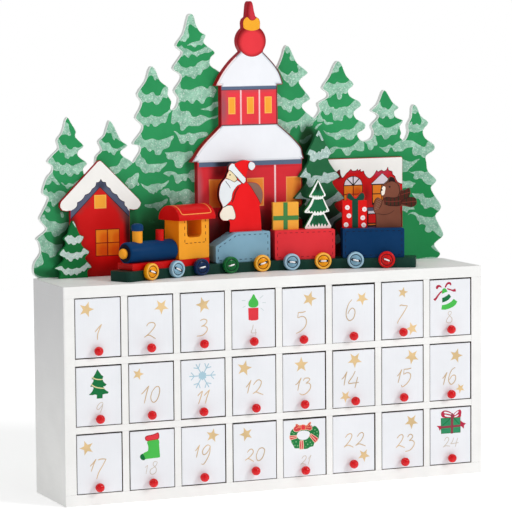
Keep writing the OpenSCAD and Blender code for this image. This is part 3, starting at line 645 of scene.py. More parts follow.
def outline_of(node, place_inverse, facing):
    """Front outline of a flat CAD board, in millimetres, read from its mesh."""
    o = nodes[node]
    me = o.data
    key = lambda v: tuple(round(c * 1e5) for c in v)
    use, pos = {}, {}
    for poly in me.polygons:
        if poly.normal.dot(facing) < 0.98:
            continue
        ids = [key(me.vertices[i].co) for i in poly.vertices]
        for i, k in enumerate(ids):
            pos[k] = me.vertices[poly.vertices[i]].co
            e = (ids[i - 1], k)
            use[e] = use.get(e, 0) + 1
    nxt = {}
    for (a, b) in use:
        if (b, a) not in use:
            nxt.setdefault(a, []).append(b)
    loops = []
    while nxt:
        start = next(iter(nxt))
        cur, ring = start, []
        while cur in nxt:
            ring.append(place_inverse(pos[cur]))
            b = nxt[cur].pop()
            if not nxt[cur]:
                del nxt[cur]
            cur = b
            if cur == start:
                break
        loops.append(ring)
    best = max(loops, key=lambda r: abs(area(r)))
    return best if area(best) > 0 else best[::-1]


def flat_inverse(co):
    return (co.x * 1000, co.z * 1000)


def track_inverse(a, turn):
    a, b = math.radians(a), math.radians(turn)
    ox, oy = TX + MID * math.sin(a), TY + MID * math.cos(a)

    def inv(co):
        dx, dy = co.x * 1000 - ox, co.y * 1000 - oy
        return (dx * math.cos(b) - dy * math.sin(b), co.z * 1000)
    return inv


# ------------------------------------------------------------------ mesh makers


def make(name, verts, faces, mats, index, body, replaces=(), smooth=False):
    me = bpy.data.meshes.new(name)
    me.from_pydata([tuple(v) for v in verts], [], faces)
    for m in mats:
        me.materials.append(m)
    for poly, k in zip(me.polygons, index):
        poly.material_index = k
        poly.use_smooth = smooth
    me.validate()
    me.update()
    o = bpy.data.objects.new(name, me)
    bpy.context.scene.collection.objects.link(o)
    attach(o, body)
    if replaces:
        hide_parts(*replaces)
    return o


def paint(name, clip, layers, place, body, ground=None, base=-0.02):
    """A thin coat of paint regions on a flat face.
    layers: (outline, material key, height mm), later ones lie on top."""
    clip = [tuple(p) for p in clip]
    polys = [clip] + [l[0] for l in layers]
    pts, edges = [], []
    for poly in polys:
        k = len(pts)
        pts += [Vector((p[0], p[1])) for p in poly]
        edges += [(k + i, k + (i + 1) % len(poly)) for i in range(len(poly))]
    V, E, F, _a, _b, _c = delaunay_2d_cdt(pts, edges, [], 0, 1e-4)
    boxes = [(min(p[0] for p in q), max(p[0] for p in q), min(p[1] for p in q), max(p[1] for p in q))
             for q in polys]
    keys = []
    tris, top = [], []
    for f in F:
        a, b, c = (V[i] for i in f)
        cross = (b.x - a.x) * (c.y - a.y) - (b.y - a.y) * (c.x - a.x)
        if abs(cross) < 1e-9:
            continue
        f = tuple(f) if cross > 0 else tuple(f)[::-1]
        x, y = (a.x + b.x + c.x) / 3, (a.y + b.y + c.y) / 3
        if not wound(x, y, clip):
            continue
        found = None
        for k in range(len(layers), 0, -1):
            q = boxes[k]
            if q[0] <= x <= q[1] and q[2] <= y <= q[3] and wound(x, y, polys[k]):
                found = layers[k - 1][1:]
                break
        if found is None:
            found = ground
        if found is None or found[0] is None:
            continue
        tris.append(f)
        top.append(found)
        if found[0] not in keys:
            keys.append(found[0])
    owner = {}
    for k, f in enumerate(tris):
        for i in range(3):
            owner[(f[i], f[(i + 1) % 3])] = k
    verts, index_of, faces, mats = [], {}, [], []

    def vert(i, h):
        if (i, h) not in index_of:
            index_of[(i, h)] = len(verts)
            verts.append(place(V[i].x, V[i].y, h))
        return index_of[(i, h)]
    for k, f in enumerate(tris):
        m, h = top[k]
        faces.append([vert(i, h) for i in f])
        mats.append(keys.index(m))
        for i in range(3):
            a, b = f[i], f[(i + 1) % 3]
            other = owner.get((b, a))
            h2 = base if other is None else top[other][1]
            if h2 < h - 1e-6:
                faces.append([vert(b, h), vert(a, h), vert(a, h2), vert(b, h2)])
                mats.append(keys.index(m))
    return make(name, verts, faces, [M[k] for k in keys], mats, body)


def clean(o, bevel=0.35, angle=32, segments=2):
    """Softened edges on a CAD node: modifiers only, the mesh stays."""
    me = o.data
    if me.has_custom_normals:
        bpy.context.view_layer.objects.active = o
        o.select_set(True)
        bpy.ops.mesh.customdata_custom_splitnormals_clear()
        o.select_set(False)
    for p in me.polygons:
        p.use_smooth = True
    w = o.modifiers.new("join", "WELD")
    w.merge_threshold = 1e-5
    if bevel:
        b = o.modifiers.new("ease", "BEVEL")
        b.width = bevel * MM
        b.segments = segments
        b.limit_method = "ANGLE"
        b.angle_limit = math.radians(angle)
        b.harden_normals = True
        b.use_clamp_overlap = True


def dress(name, mat, bevel=0.35, angle=32, rules=()):
    """Material for a CAD node. rules: (test on the face, material key)."""
    o = nodes[name]
    o.data.materials.clear()
    o.data.materials.append(M[mat])
    for _t, m in rules:
        o.data.materials.append(M[m])
    for p in o.data.polygons:
        p.material_index = 0
        for k, (test, _m) in enumerate(rules):
            if test(p):
                p.material_index = k + 1
    clean(o, bevel, angle)
    return o


def rounded_box(bm, x0, x1, y0, y1, z0, z1, r, seg=2, mat=0):
    made = bmesh.ops.create_cube(bm, size=1.0)["verts"]
    for v in made:
        v.co = Vector(((x0 + x1) / 2 + v.co.x * (x1 - x0), (y0 + y1) / 2 + v.co.y * (y1 - y0),
                       (z0 + z1) / 2 + v.co.z * (z1 - z0))) * MM
    faces = {f for v in made for f in v.link_faces}
    edges = {e for v in made for e in v.link_edges}
    for f in faces:
        f.material_index = mat
    if r:
        out = bmesh.ops.bevel(bm, geom=list(edges), offset=r * MM, segments=seg, affect="EDGES",
                              profile=0.5)
        for f in out["faces"]:
            f.material_index = mat
            f.smooth = True


def from_bmesh(name, bm, mats, body, replaces=()):
    me = bpy.data.meshes.new(name)
    bmesh.ops.recalc_face_normals(bm, faces=bm.faces)
    bm.to_mesh(me)
    bm.free()
    for m in mats:
        me.materials.append(m)
    o = bpy.data.objects.new(name, me)
    bpy.context.scene.collection.objects.link(o)
    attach(o, body)
    if replaces:
        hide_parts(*replaces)
    return o


def lathe(bm, profile, centre, seg=40, mat=0):
    """Turned shape round a line along Y. profile: (y, radius) in millimetres."""
    rings = []
    for y, r in profile:
        if r < 1e-6:
            rings.append([bm.verts.new(Vector((centre[0], centre[1] + y, centre[2])) * MM)])
        else:
            rings.append([bm.verts.new(Vector((centre[0] + r * math.cos(2 * math.pi * k / seg),
                                               centre[1] + y,
                                               centre[2] + r * math.sin(2 * math.pi * k / seg))) * MM)
                          for k in range(seg)])
    for a, b in zip(rings, rings[1:]):
        for k in range(seg):
            j = (k + 1) % seg
            quad = [a[k % len(a)], a[j % len(a)], b[j % len(b)], b[k % len(b)]]
            quad = list(dict.fromkeys(quad))
            if len(quad) > 2:
                f = bm.faces.new(quad)
                f.smooth = True
                f.material_index = mat


# ------------------------------------------------------------------ cabinet



def in_cell(k, sign=0):
    """Faces that look into the drawer cells stay raw board behind the front edge, in a dark brown that also deepens the
    gaps round the fronts: partly painted shade.
    """
    def test(p):
        n = p.normal[k]
        return abs(n) > 0.9 and (sign == 0 or n * sign > 0)
    return test


dress("top_board", "white", 0.12, rules=((in_cell(2, -1), "raw_board_and_shade"),))
dress("bottom_board", "white", 0.12, rules=((in_cell(2, 1), "raw_board_and_shade"),))
for n in ("upper_shelf", "lower_shelf"):
    dress(n, "white", 0.15, rules=((in_cell(2), "raw_board_and_shade"),))
dress("left_side", "white_side", 0.12, rules=((in_cell(0, 1), "raw_board_and_shade"),))
dress("right_side", "white_side", 0.12, rules=((in_cell(0, -1), "raw_board_and_shade"),))
for n in ("dividers_top_row", "dividers_middle_row", "dividers_bottom_row"):
    dress(n, "white_side", 0.15, rules=((in_cell(0), "raw_board_and_shade"),))
dress("back_panel", "white_back", 0.2)

# ------------------------------------------------------------------ drawers

W, D, H = 400.0, 80.0, 190.0
CELL_W = (W - 20 - 42) / 8
CELL_H = (H - 20 - 12) / 3
YF = -40.0

# How each front sits in its opening (to the right, upwards), as in any hand-fitted cabinet
FIT = [
    (0, 0.1), (0, -0.1), (0.2, -0.1), (-0.1, -0.3), (-0.3, -0.6), (-0.2, -0.6), (0.2, -0.1), (-0.2, -0.2),
    (0, -0.2), (0, -0.1), (0, 0.1), (0.1, -0.2), (-0.3, -0.2), (0.1, -0.3), (0, -0.1), (-0.3, -0.1),
    (-0.1, -0.2), (0.2, -0.2), (-0.2, 0), (0.2, -0.3), (-0.2, -0.5), (-0.4, -0.2), (-0.1, -0.2), (-0.1, -0.1),
]

STARS = {
    1: [(-179.1, 170.0, 6.1, 0)], 2: [(-110.6, 168.9, 6.0, -90)], 3: [(-71.7, 168.4, 6.2, 33)],
    5: [(29.4, 168.4, 6.1, 0)], 6: [(80.7, 166.1, 5.5, -86)],
    7: [(121.1, 169.4, 4.5, 6), (130.1, 136.3, 5.4, 35)],
    10: [(-132.7, 111.3, 4.7, 0)], 12: [(-33.4, 110.4, 6.2, 4)], 13: [(21.1, 110.1, 6.1, 90)],
    14: [(73.3, 111.3, 6.3, -90), (64.0, 79.0, 4.9, -90)], 15: [(130.0, 110.9, 6.2, -98)],
    16: [(174.4, 109.1, 5.9, 0), (178.7, 79.0, 4.1, 44)], 17: [(-180.6, 50.4, 5.8, 36)],
    19: [(-64.1, 53.0, 5.5, 5)], 20: [(-32.3, 51.9, 5.6, 38)], 22: [(81.9, 24.7, 5.3, -85)],
    23: [(129.3, 51.9, 6.0, -90)],
}

# Hand-written figures, one brush line per list
DIGITS = {
    1: [[(-171.6, 150.3), (-168.6, 153.4), (-165.4, 156.7)], [(-165.6, 156.4), (-168.9, 149), (-169.5, 143.4)]],
    2: [[(-124.4, 152.7), (-122.7, 154.9), (-119.9, 155.6), (-117.3, 154.9), (-116.6, 152.8), (-118.4, 149.9),
         (-122, 146.3), (-126.6, 143.1)], [(-126.6, 143.1), (-123.5, 144.7), (-120.6, 144.1), (-116.3, 141.3)]],
    3: [[(-74.6, 154.6), (-72, 155.8), (-69.1, 155.3), (-68.4, 153.4), (-70.6, 150.9), (-73.7, 149.6)],
        [(-73.7, 149.6), (-70.4, 149.8), (-68, 147.7), (-68.9, 144.6), (-72.7, 141.8), (-78, 141.3)]],
    4: [[(-24.6, 148.4), (-25.3, 145), (-26.6, 141.4), (-21.4, 141.2)], [(-22.4, 144.6), (-22.3, 139.1)]],
    5: [[(18.6, 156.8), (22, 156.7), (25.7, 157.5)], [(18.6, 156.8), (18, 152.4)],
        [(18, 152.2), (22.6, 153.2), (25.6, 151.3), (26.4, 147.7), (24.7, 143.4), (20.4, 139.9), (16.4, 138.4)]],
    6: [[(70.7, 165.6), (67.6, 162), (65.4, 156.3), (65.1, 151.3), (66.9, 147.7), (69, 147), (71.9, 148.6),
         (73.6, 152.7), (73.3, 156.3), (71.1, 158), (68.3, 156), (66.7, 153)]],
    7: [[(117.9, 157.3), (119.3, 158.2), (122.1, 157.6), (125.6, 157.3)],
        [(125.6, 157.3), (123.3, 153.4), (119.7, 148.4), (116.9, 144.6), (115.4, 141.6)]],
    8: [[(169.7, 149.4), (167.6, 149.9), (166.4, 148), (167.9, 146), (170.1, 143.7), (170.1, 140.9),
         (167.6, 139.4), (164.7, 140.6), (165.4, 143.1), (167.9, 146), (169.4, 147.7), (169.7, 149.4)]],
    9: [[(-165.1, 88.7), (-167, 89), (-169.9, 86.6), (-170.9, 84.1), (-169.4, 83), (-166.6, 85.6), (-165.2, 88.4)],
        [(-165.2, 88.4), (-166, 84.4), (-167.7, 80.4)]],
    10: [[(-129.9, 93.7), (-127.4, 95.9), (-123, 100.6)], [(-123, 100.6), (-125.1, 94.4), (-127.4, 85.6)],
         [(-119.9, 95.9), (-121.3, 90.9), (-120.6, 87.3), (-118.4, 85.9), (-115.6, 88), (-113.7, 92.3),
          (-113, 96.6), (-114.1, 99.4), (-117, 98.9), (-119.9, 95.5)]],
    11: [[(-77.7, 88.7), (-75.6, 90.9), (-73, 92.9)], [(-73, 92.9), (-74.6, 88), (-77, 81.6)],
         [(-71.6, 88.7), (-69.4, 90.9), (-66.3, 93.6)], [(-66.4, 93.6), (-68.9, 87.3), (-70.6, 81.6)]],
    12: [[(-32, 93.3), (-29.9, 95.6), (-27, 99.6)], [(-27.1, 99.6), (-29.1, 93.7), (-30.6, 88)],
         [(-24.9, 95.1), (-22.7, 97.8), (-19.9, 99.4), (-17.4, 97.6), (-18.4, 93.7), (-22, 89.4), (-25.6, 87.4)],
         [(-25.6, 87.4), (-22.5, 88.7), (-19.1, 87.3), (-15.6, 85.9)]],
    13: [[(15.4, 92.7), (17.6, 93.9), (21.1, 98.6)], [(21.1, 98.6), (19, 93.7), (17.6, 87.3)],
         [(23, 95.9), (24.7, 97.8), (28.3, 97.8), (29, 95.9), (25.4, 93.3)],
         [(25.4, 93.3), (28.3, 93.3), (30.1, 90.9), (29, 87.3), (25.4, 84.1), (21.9, 83.3), (19.3, 84.6)]],
    14: [[(60.4, 94.7), (62.6, 96.6), (65.7, 101.3)], [(65.7, 101.3), (64, 95.9), (62.6, 89)],
         [(73.7, 101.3), (71.1, 96.6), (66.9, 90.9), (71.9, 90.6), (77.3, 90.9)], [(76.1, 95.9), (74.7, 90.9), (73.3, 85.9)]],
    15: [[(115.1, 94), (117.3, 95.9), (119.9, 99.9)], [(119.9, 99.9), (117.9, 94.4), (116.1, 88)],
         [(122.1, 99.9), (125.6, 99.9), (129.3, 100.5)], [(122.1, 99.9), (121.6, 95.5)],
         [(121.6, 95.3), (125.4, 96.7), (128.4, 95.1), (128, 90.9), (124.7, 86.6), (120.4, 84.1), (119.2, 85.8)]],
    16: [[(160.7, 89), (162.6, 90.9), (165.4, 94.6)], [(165.4, 94.6), (163.3, 89.4), (161.6, 83.3)],
         [(173.6, 98.4), (170.4, 96.6), (167.6, 91.6), (166.9, 86.6), (169, 83.3), (171.9, 84.4), (174, 88),
          (173.3, 91.3), (170.4, 90.9), (167.6, 87.4)]],
    17: [[(-177.7, 34.3), (-174.9, 36.9), (-172.2, 40.2)], [(-172.2, 40.2), (-174.9, 34.7), (-176.7, 29.7)],
         [(-170.6, 39.2), (-167, 39.9), (-163.1, 39.4)], [(-163.1, 39.4), (-166.3, 34), (-169.9, 28.3), (-172, 22.6)]],
    18: [[(-127.4, 29.4), (-125, 31.3)], [(-125, 31.3), (-126.6, 23.7)],
         [(-115.9, 33.3), (-118.6, 34), (-119.9, 31.6), (-118.6, 29.7), (-117, 27.4), (-117.7, 24.3), (-120.6, 22.9),
          (-122.7, 24.3), (-122.3, 27.1), (-119.1, 29), (-117, 30.9), (-115.9, 33.3)]],
    19: [[(-80.3, 40.4), (-78.4, 42.6), (-76.3, 45.6)], [(-76.3, 45.6), (-78, 40.4), (-79.4, 34.7)],
         [(-66.4, 44), (-68.9, 44.9), (-72, 42.6), (-73.7, 39.7), (-73.1, 36.9), (-70.6, 37.1), (-67.7, 40.4),
          (-66.3, 43.9)], [(-66.3, 43.9), (-67, 37.6), (-69.9, 31.9), (-72.7, 28.3), (-74.9, 28.6)]],
    20: [[(-31.3, 35.4), (-29.1, 37.8), (-26.6, 38), (-25.6, 35.4), (-28.4, 31.9), (-33.4, 28.6)],
         [(-33.4, 28.6), (-30.6, 30), (-27.7, 28.6), (-25.1, 26.9)],
         [(-21.3, 36.1), (-22.7, 31.9), (-22, 28.3), (-19.9, 27.5), (-17, 29.7), (-15.1, 34), (-14.9, 37.1),
          (-17, 38.7), (-19.9, 37.8), (-21.5, 35.5)]],
    21: [[(21.1, 26.1), (22.6, 28), (24.7, 28.4), (25.4, 26.6), (23.3, 23.7), (19.7, 20.9)],
         [(19.7, 20.9), (22, 21.6), (24.7, 20.7)], [(27.3, 25.4), (30.1, 28.8)], [(30.1, 28.8), (28.3, 24), (27.3, 20.4)]],
    22: [[(63.7, 41.9), (65.9, 44.4), (69, 45.1), (70.1, 42.9), (67.6, 38.3), (62.3, 33.3)],
         [(62.3, 33.3), (65.6, 34.9), (69, 34), (71.6, 32.6)],
         [(75.4, 41.9), (77.6, 44.5), (80.4, 45.4), (81.6, 42.9), (79, 38.3), (73.6, 34)],
         [(73.6, 34), (77, 35.3), (80.4, 34.3), (83.6, 32.9)]],
    23: [[(115, 37.6), (117.3, 40.1), (120.1, 40.5), (120.9, 38), (118.3, 33.7), (113.7, 29)],
         [(113.7, 29), (116.6, 31), (119.7, 29.9), (122.6, 28.6)],
         [(125.4, 38), (127.3, 40.1), (129.7, 39.9), (130.4, 37.6), (126.9, 34.5)],
         [(126.9, 34.5), (129.9, 34.7), (132.1, 32.6), (131.1, 29), (127.6, 25.9), (123, 25)]],
    24: [[(162.6, 31.9), (164, 34.4), (166.1, 34.8), (166.9, 32.3), (164.4, 29), (161.1, 26.1)],
         [(161.1, 26.1), (163.6, 27.2), (166.4, 26.9), (168.3, 26.6)],
         [(172.1, 34.3), (170.4, 30.4), (169, 28.8), (173.3, 29), (176.9, 29.3)], [(176.1, 33.7), (174.7, 29.7), (173.6, 25.7)]],
}
PALE = {4, 8, 9, 18, 21, 24}


def grid(x0, z0, pts):
    """Small pictures are drawn on squared paper, seven squares to the millimetre."""
    return [(x0 + a / 7, z0 - b / 7) for a, b in pts]


def candle():
    g = lambda p: grid(-192, 182, p)
    out = [(loop(g([(1176, 46), (1190, 70), (1205, 92), (1206, 115), (1190, 128), (1160, 128), (1142, 115), (1143, 93), (1160, 70)])), "art_lime"),
           (g([(1139, 131), (1207, 132), (1206, 205), (1190, 209), (1160, 209), (1141, 204)]), "art_red")]
    for p in ([(1097, 82), (1121, 84)], [(1102, 126), (1121, 117)], [(1217, 74), (1240, 58)],
              [(1234, 102), (1257, 104)], [(1222, 134), (1242, 151)]):
        out.append((ribbon(g(p), 0.7, 0.3, 0), "art_grey"))
    return out


def bell():
    g = lambda p: grid(-1, 182, p)
    return [
        (loop(g([(1128, 96), (1133, 82), (1143, 76), (1154, 78), (1161, 87), (1168, 98), (1150, 103), (1131, 110)]), 2), "art_lime"),
        (g([(1130, 138), (1145, 133), (1162, 125), (1178, 114), (1193, 132), (1178, 148), (1160, 158), (1131, 166)]), "art_green"),
        (g([(1129, 183), (1150, 181), (1175, 174), (1196, 163), (1211, 147), (1237, 165), (1226, 184), (1208, 197), (1180, 207), (1150, 213), (1124, 210)]), "art_lime"),
        (loop(g([(1087, 76), (1088, 62), (1100, 53), (1114, 55), (1126, 65), (1127, 71), (1116, 68), (1106, 67), (1097, 79)]), 2), "art_crimson"),
        (loop(g([(1149, 68), (1158, 49), (1172, 38), (1188, 40), (1195, 50), (1192, 62), (1183, 53), (1172, 52), (1162, 62), (1153, 74)]), 2), "art_crimson"),
        (g([(1130, 90), (1115, 98), (1098, 115), (1084, 132), (1068, 142), (1080, 154), (1092, 143), (1104, 124), (1118, 108), (1131, 98)]), "art_crimson"),
        (g([(1165, 76), (1185, 82), (1204, 88), (1224, 82), (1228, 100), (1212, 102), (1198, 95), (1182, 90), (1166, 84)]), "art_crimson"),
    ]


def small_tree():
    g = lambda p: grid(-192, 123, p)
    body = g([(155, 35), (166, 52), (180, 72), (192, 80), (186, 97), (192, 112), (202, 124), (212, 129), (205, 139),
              (190, 143), (200, 160), (212, 170), (224, 177), (220, 187), (203, 187), (186, 190), (185, 213),
              (148, 213), (150, 192), (138, 187), (122, 190), (98, 187), (110, 178), (122, 165), (130, 146),
              (122, 138), (108, 138), (116, 124), (127, 110), (130, 96), (117, 93), (128, 80), (140, 62)])
    return [(body, "art_green"),
            (ribbon(g([(118, 80), (140, 93), (164, 98), (187, 99)]), 0.95, 0.2), "art_pale"),
            (ribbon(g([(113, 124), (140, 142), (170, 150), (200, 154)]), 0.95, 0.2), "art_pale")]


def snowflake():
    cx, cz = -192 + 833 / 7, 123 - 117 / 7
    out = []
    for k in range(6):
        a = math.radians(60 * k)
        length = 12.3 if k % 3 == 0 else 12.0
        ux, uz = math.cos(a), math.sin(a)
        out.append((ribbon([(cx, cz), (cx + ux * length, cz + uz * length)], 0.85, 0, 0), "art_blue"))
        for side in (-1, 1):
            for at, ln in ((0.62, 4.6),):
                b = a + side * math.radians(48)
                sx, sz = cx + ux * length * at, cz + uz * length * at
                out.append((ribbon([(sx, sz), (sx + math.cos(b) * ln, sz + math.sin(b) * ln)], 0.75, 0, 0), "art_blue"))
    hub = []
    for k in range(24):
        a = math.radians(15 * k)
        r = 4.1 if k % 4 == 2 else (2.9 if k % 4 == 0 else 3.4)
        hub.append((cx + r * math.cos(a), cz + r * math.sin(a)))
    out.append((hub, "art_blue"))
    return out


def stocking():
    g = lambda p: grid(-192, 64, p)
    return [
        (loop(g([(470, 80), (540, 74), (545, 110), (548, 150), (550, 180), (543, 187), (500, 189), (455, 191), (438, 196), (438, 160), (455, 148), (473, 140), (474, 110)]), 2), "art_lime"),
        (loop(g([(420, 176), (424, 164), (437, 156), (448, 172), (454, 190), (446, 197), (430, 192)]), 2), "art_green"),
        (loop(g([(454, 63), (459, 51), (478, 46), (505, 43), (527, 36), (540, 33), (546, 45), (547, 64), (538, 75), (510, 78), (485, 80), (468, 82), (457, 74)]), 2), "art_edge"),
        (inset(loop(g([(454, 63), (459, 51), (478, 46), (505, 43), (527, 36), (540, 33), (546, 45), (547, 64), (538, 75), (510, 78), (485, 80), (468, 82), (457, 74)]), 2), 0.75), "art_red"),
    ]


def wreath():
    ring = [(10.6, 51.2), (9.9, 49.4), (9.9, 47.5), (9.2, 46.2), (9.5, 44.3), (10.9, 42.9), (11.2, 41.0), (12.9, 38.6), (14.3, 35.9),
            (17.7, 35.7), (20.5, 34.7), (23.9, 34.6), (26.7, 34.7), (29.5, 36.1), (32.3, 36.5), (33.3, 39.3), (35.8, 40.5),
            (37.5, 42.9), (37.9, 45.4), (38.3, 48.0), (37.6, 50.9), (35.9, 53.3), (33.8, 54.7), (31.7, 53.9), (30.3, 55.6),
            (24.8, 56.0), (17.9, 56.0), (13.0, 53.6)]
    out = [(loop(ring, 2), "wreath_green")]
    rnd = random.Random(5)
    for u, v in ((12.4, 40.8), (14.4, 38.4), (15.6, 41.6), (17.2, 38.0), (25.2, 41.2), (26.8, 38.6), (25.0, 36.4), (29.4, 40.2), (30.6, 38.0),
                 (34.0, 51.2), (36.0, 49.2), (33.2, 48.4), (36.2, 46.4), (31.4, 51.6), (12.0, 50.2), (13.6, 49.0)):
        out.append((disc(u, v, rnd.uniform(0.45, 0.7), 10), "wreath_dot"))
    bands = (([(9.2, 47.7), (13.0, 47.5), (16.6, 47.6), (16.7, 44.7), (12.9, 44.0), (10.2, 43.3), (9.0, 45.3)], ((9.6, 45.6), (16.4, 46.2))),
             ([(19.3, 42.6), (22.7, 42.7), (23.1, 38.2), (23.0, 34.4), (19.1, 34.4), (18.8, 38.5)], ((21.0, 42.4), (21.1, 34.8))),
             ([(30.1, 48.3), (33.4, 46.1), (37.3, 43.3), (36.5, 40.8), (33.7, 39.1), (30.9, 42.7), (28.3, 46.1)], ((29.6, 46.9), (35.2, 41.2))))
    for band, mid in bands:
        out.append((band, "art_cream"))
        out.append((inset(band, 0.5), "bow_red"))
        out.append((ribbon(list(mid), 0.55, 0, 0), "art_cream"))
    lobes = ([(13.0, 53.0), (13.7, 54.9), (15.1, 56.0), (15.0, 57.3), (16.8, 57.7), (18.9, 56.4), (21.0, 56.2), (21.0, 52.2), (18.5, 50.8), (15.4, 50.4), (13.2, 51.7)],
             [(24.2, 55.7), (26.2, 55.9), (27.6, 57.7), (29.9, 58.7), (30.4, 57.2), (29.7, 55.7), (31.2, 54.0), (31.1, 52.0), (29.3, 50.7), (26.8, 51.5), (24.2, 52.0)])
    for lobe in lobes:
        out.append((loop(lobe, 2), "art_cream"))
        out.append((inset(loop(lobe, 2), 0.4), "bow_red"))
    for line in ([(15.2, 53.2), (17.6, 54.2), (20.2, 54.4)], [(16.4, 56.6), (18.2, 55.4), (20.2, 55.2)], [(25.4, 54.6), (27.6, 55.4), (29.4, 57.4)],
                 [(25.4, 53.4), (27.8, 53.6), (30.0, 53.2)]):
        out.append((ribbon(line, 0.4, 0.4), "art_orange"))
    knot = [(20.6, 56.2), (22.7, 56.6), (24.7, 55.9), (24.9, 52.2), (22.7, 51.6), (20.5, 52.2)]
    out.append((loop(knot, 2), "art_orange"))
    out.append((inset(loop(knot, 2), 0.4), "art_red"))
    hole = [(16.4, 47.6), (17.5, 49.8), (19.6, 50.9), (22.4, 51.2), (24.7, 51.0), (27.9, 50.0), (29.2, 48.3), (28.5, 46.4), (27.8, 44.6),
            (25.4, 43.1), (21.9, 42.9), (18.8, 43.6), (17.1, 45.3)]
    return out, loop(hole, 2)


def gift():
    box = [(158.9, 52.8), (178.8, 52.9), (178.9, 38.4), (159.2, 38.5)]
    return [
        (box, "art_green"),
        (inset(box, 0.5), "gift_art_green"),
        (ribbon([(160.5, 46), (166, 50), (169, 52.6)], 0.8, 0.3), "art_green"),
        (ribbon([(177.5, 46.5), (174, 50), (171.6, 52.6)], 0.8, 0.3), "art_green"),
        ([(158.8, 45.4), (178.8, 45.7), (178.8, 43.7), (158.8, 43.4)], "art_maroon"),
        ([(169.0, 53.4), (171.6, 53.4), (171.3, 38.1), (169.0, 38.1)], "art_maroon"),
        ([(158.9, 45.9), (154.6, 46.1), (156.6, 44.3), (157.8, 41.4), (159.3, 43.4)], "art_crimson"),
        ([(178.8, 49.5), (181.2, 47.6), (184.5, 46.3), (182.5, 44.8), (182.3, 41.7), (180.3, 43.5), (178.8, 44.5)], "art_crimson"),
        (loop([(169.9, 53.0), (166.0, 52.8), (161.4, 53.2), (159.3, 55.2), (159.5, 58.1), (162.3, 59.7), (166.0, 59.1), (169.2, 57.5), (170.5, 55.3)], 2), "art_crimson"),
        (loop([(162.6, 58.6), (166.0, 57.9), (169.0, 56.6), (169.4, 55.6), (166.0, 56.5), (162.4, 57.3)], 2), "front"),
        (loop([(163.0, 56.0), (166.9, 54.9), (169.3, 54.2), (168.8, 53.4), (166.0, 53.6), (163.0, 54.5)], 2), "front"),
        (loop([(171.3, 54.0), (172.4, 56.5), (175.2, 58.4), (178.2, 59.5), (179.8, 57.6), (179.5, 54.7), (178.9, 52.6), (174.8, 52.5), (171.6, 52.7)], 2), "art_crimson"),
        (loop([(172.8, 56.0), (174.8, 57.5), (176.8, 58.5), (176.4, 56.9), (174.3, 55.2), (172.8, 54.6)], 2), "front"),
        (loop([(172.4, 53.2), (174.8, 54.3), (176.8, 55.2), (176.4, 53.8), (173.8, 52.8)], 2), "front"),
        (loop([(169.0, 53.2), (169.4, 55.8), (170.5, 56.8), (171.5, 55.8), (171.6, 53.2)], 2), "art_maroon"),
    ]


SMALL = {4: candle(), 8: bell(), 9: small_tree(), 11: snowflake(), 18: stocking(), 24: gift()}
wreath_layers, wreath_hole = wreath()
# The knobs are screwed in by eye: each sits a little off the middle (x, z)
KNOB_OFF = [(-1.0, 0.0), (-1.0, 0.1), (-0.2, 0.7), (-1.5, 0.1), (-2.2, -0.9), (-1.8, -0.6), (-1.2, 0.2), (-1.3, -0.1),
            (-0.4, -0.2), (-1.2, 0.1), (-1.3, -0.2), (0.0, -0.3), (-1.5, -0.1), (-0.4, -0.4), (-0.7, -0.2), (-1.3, -0.5),
            (-1.6, -0.9), (-0.6, -0.6), (-1.1, 0.6), (-0.8, 2.6), (-1.2, -0.7), (-2.3, 1.5), (0.3, -0.3), (-0.6, -0.5)]
SMALL[21] = wreath_layers

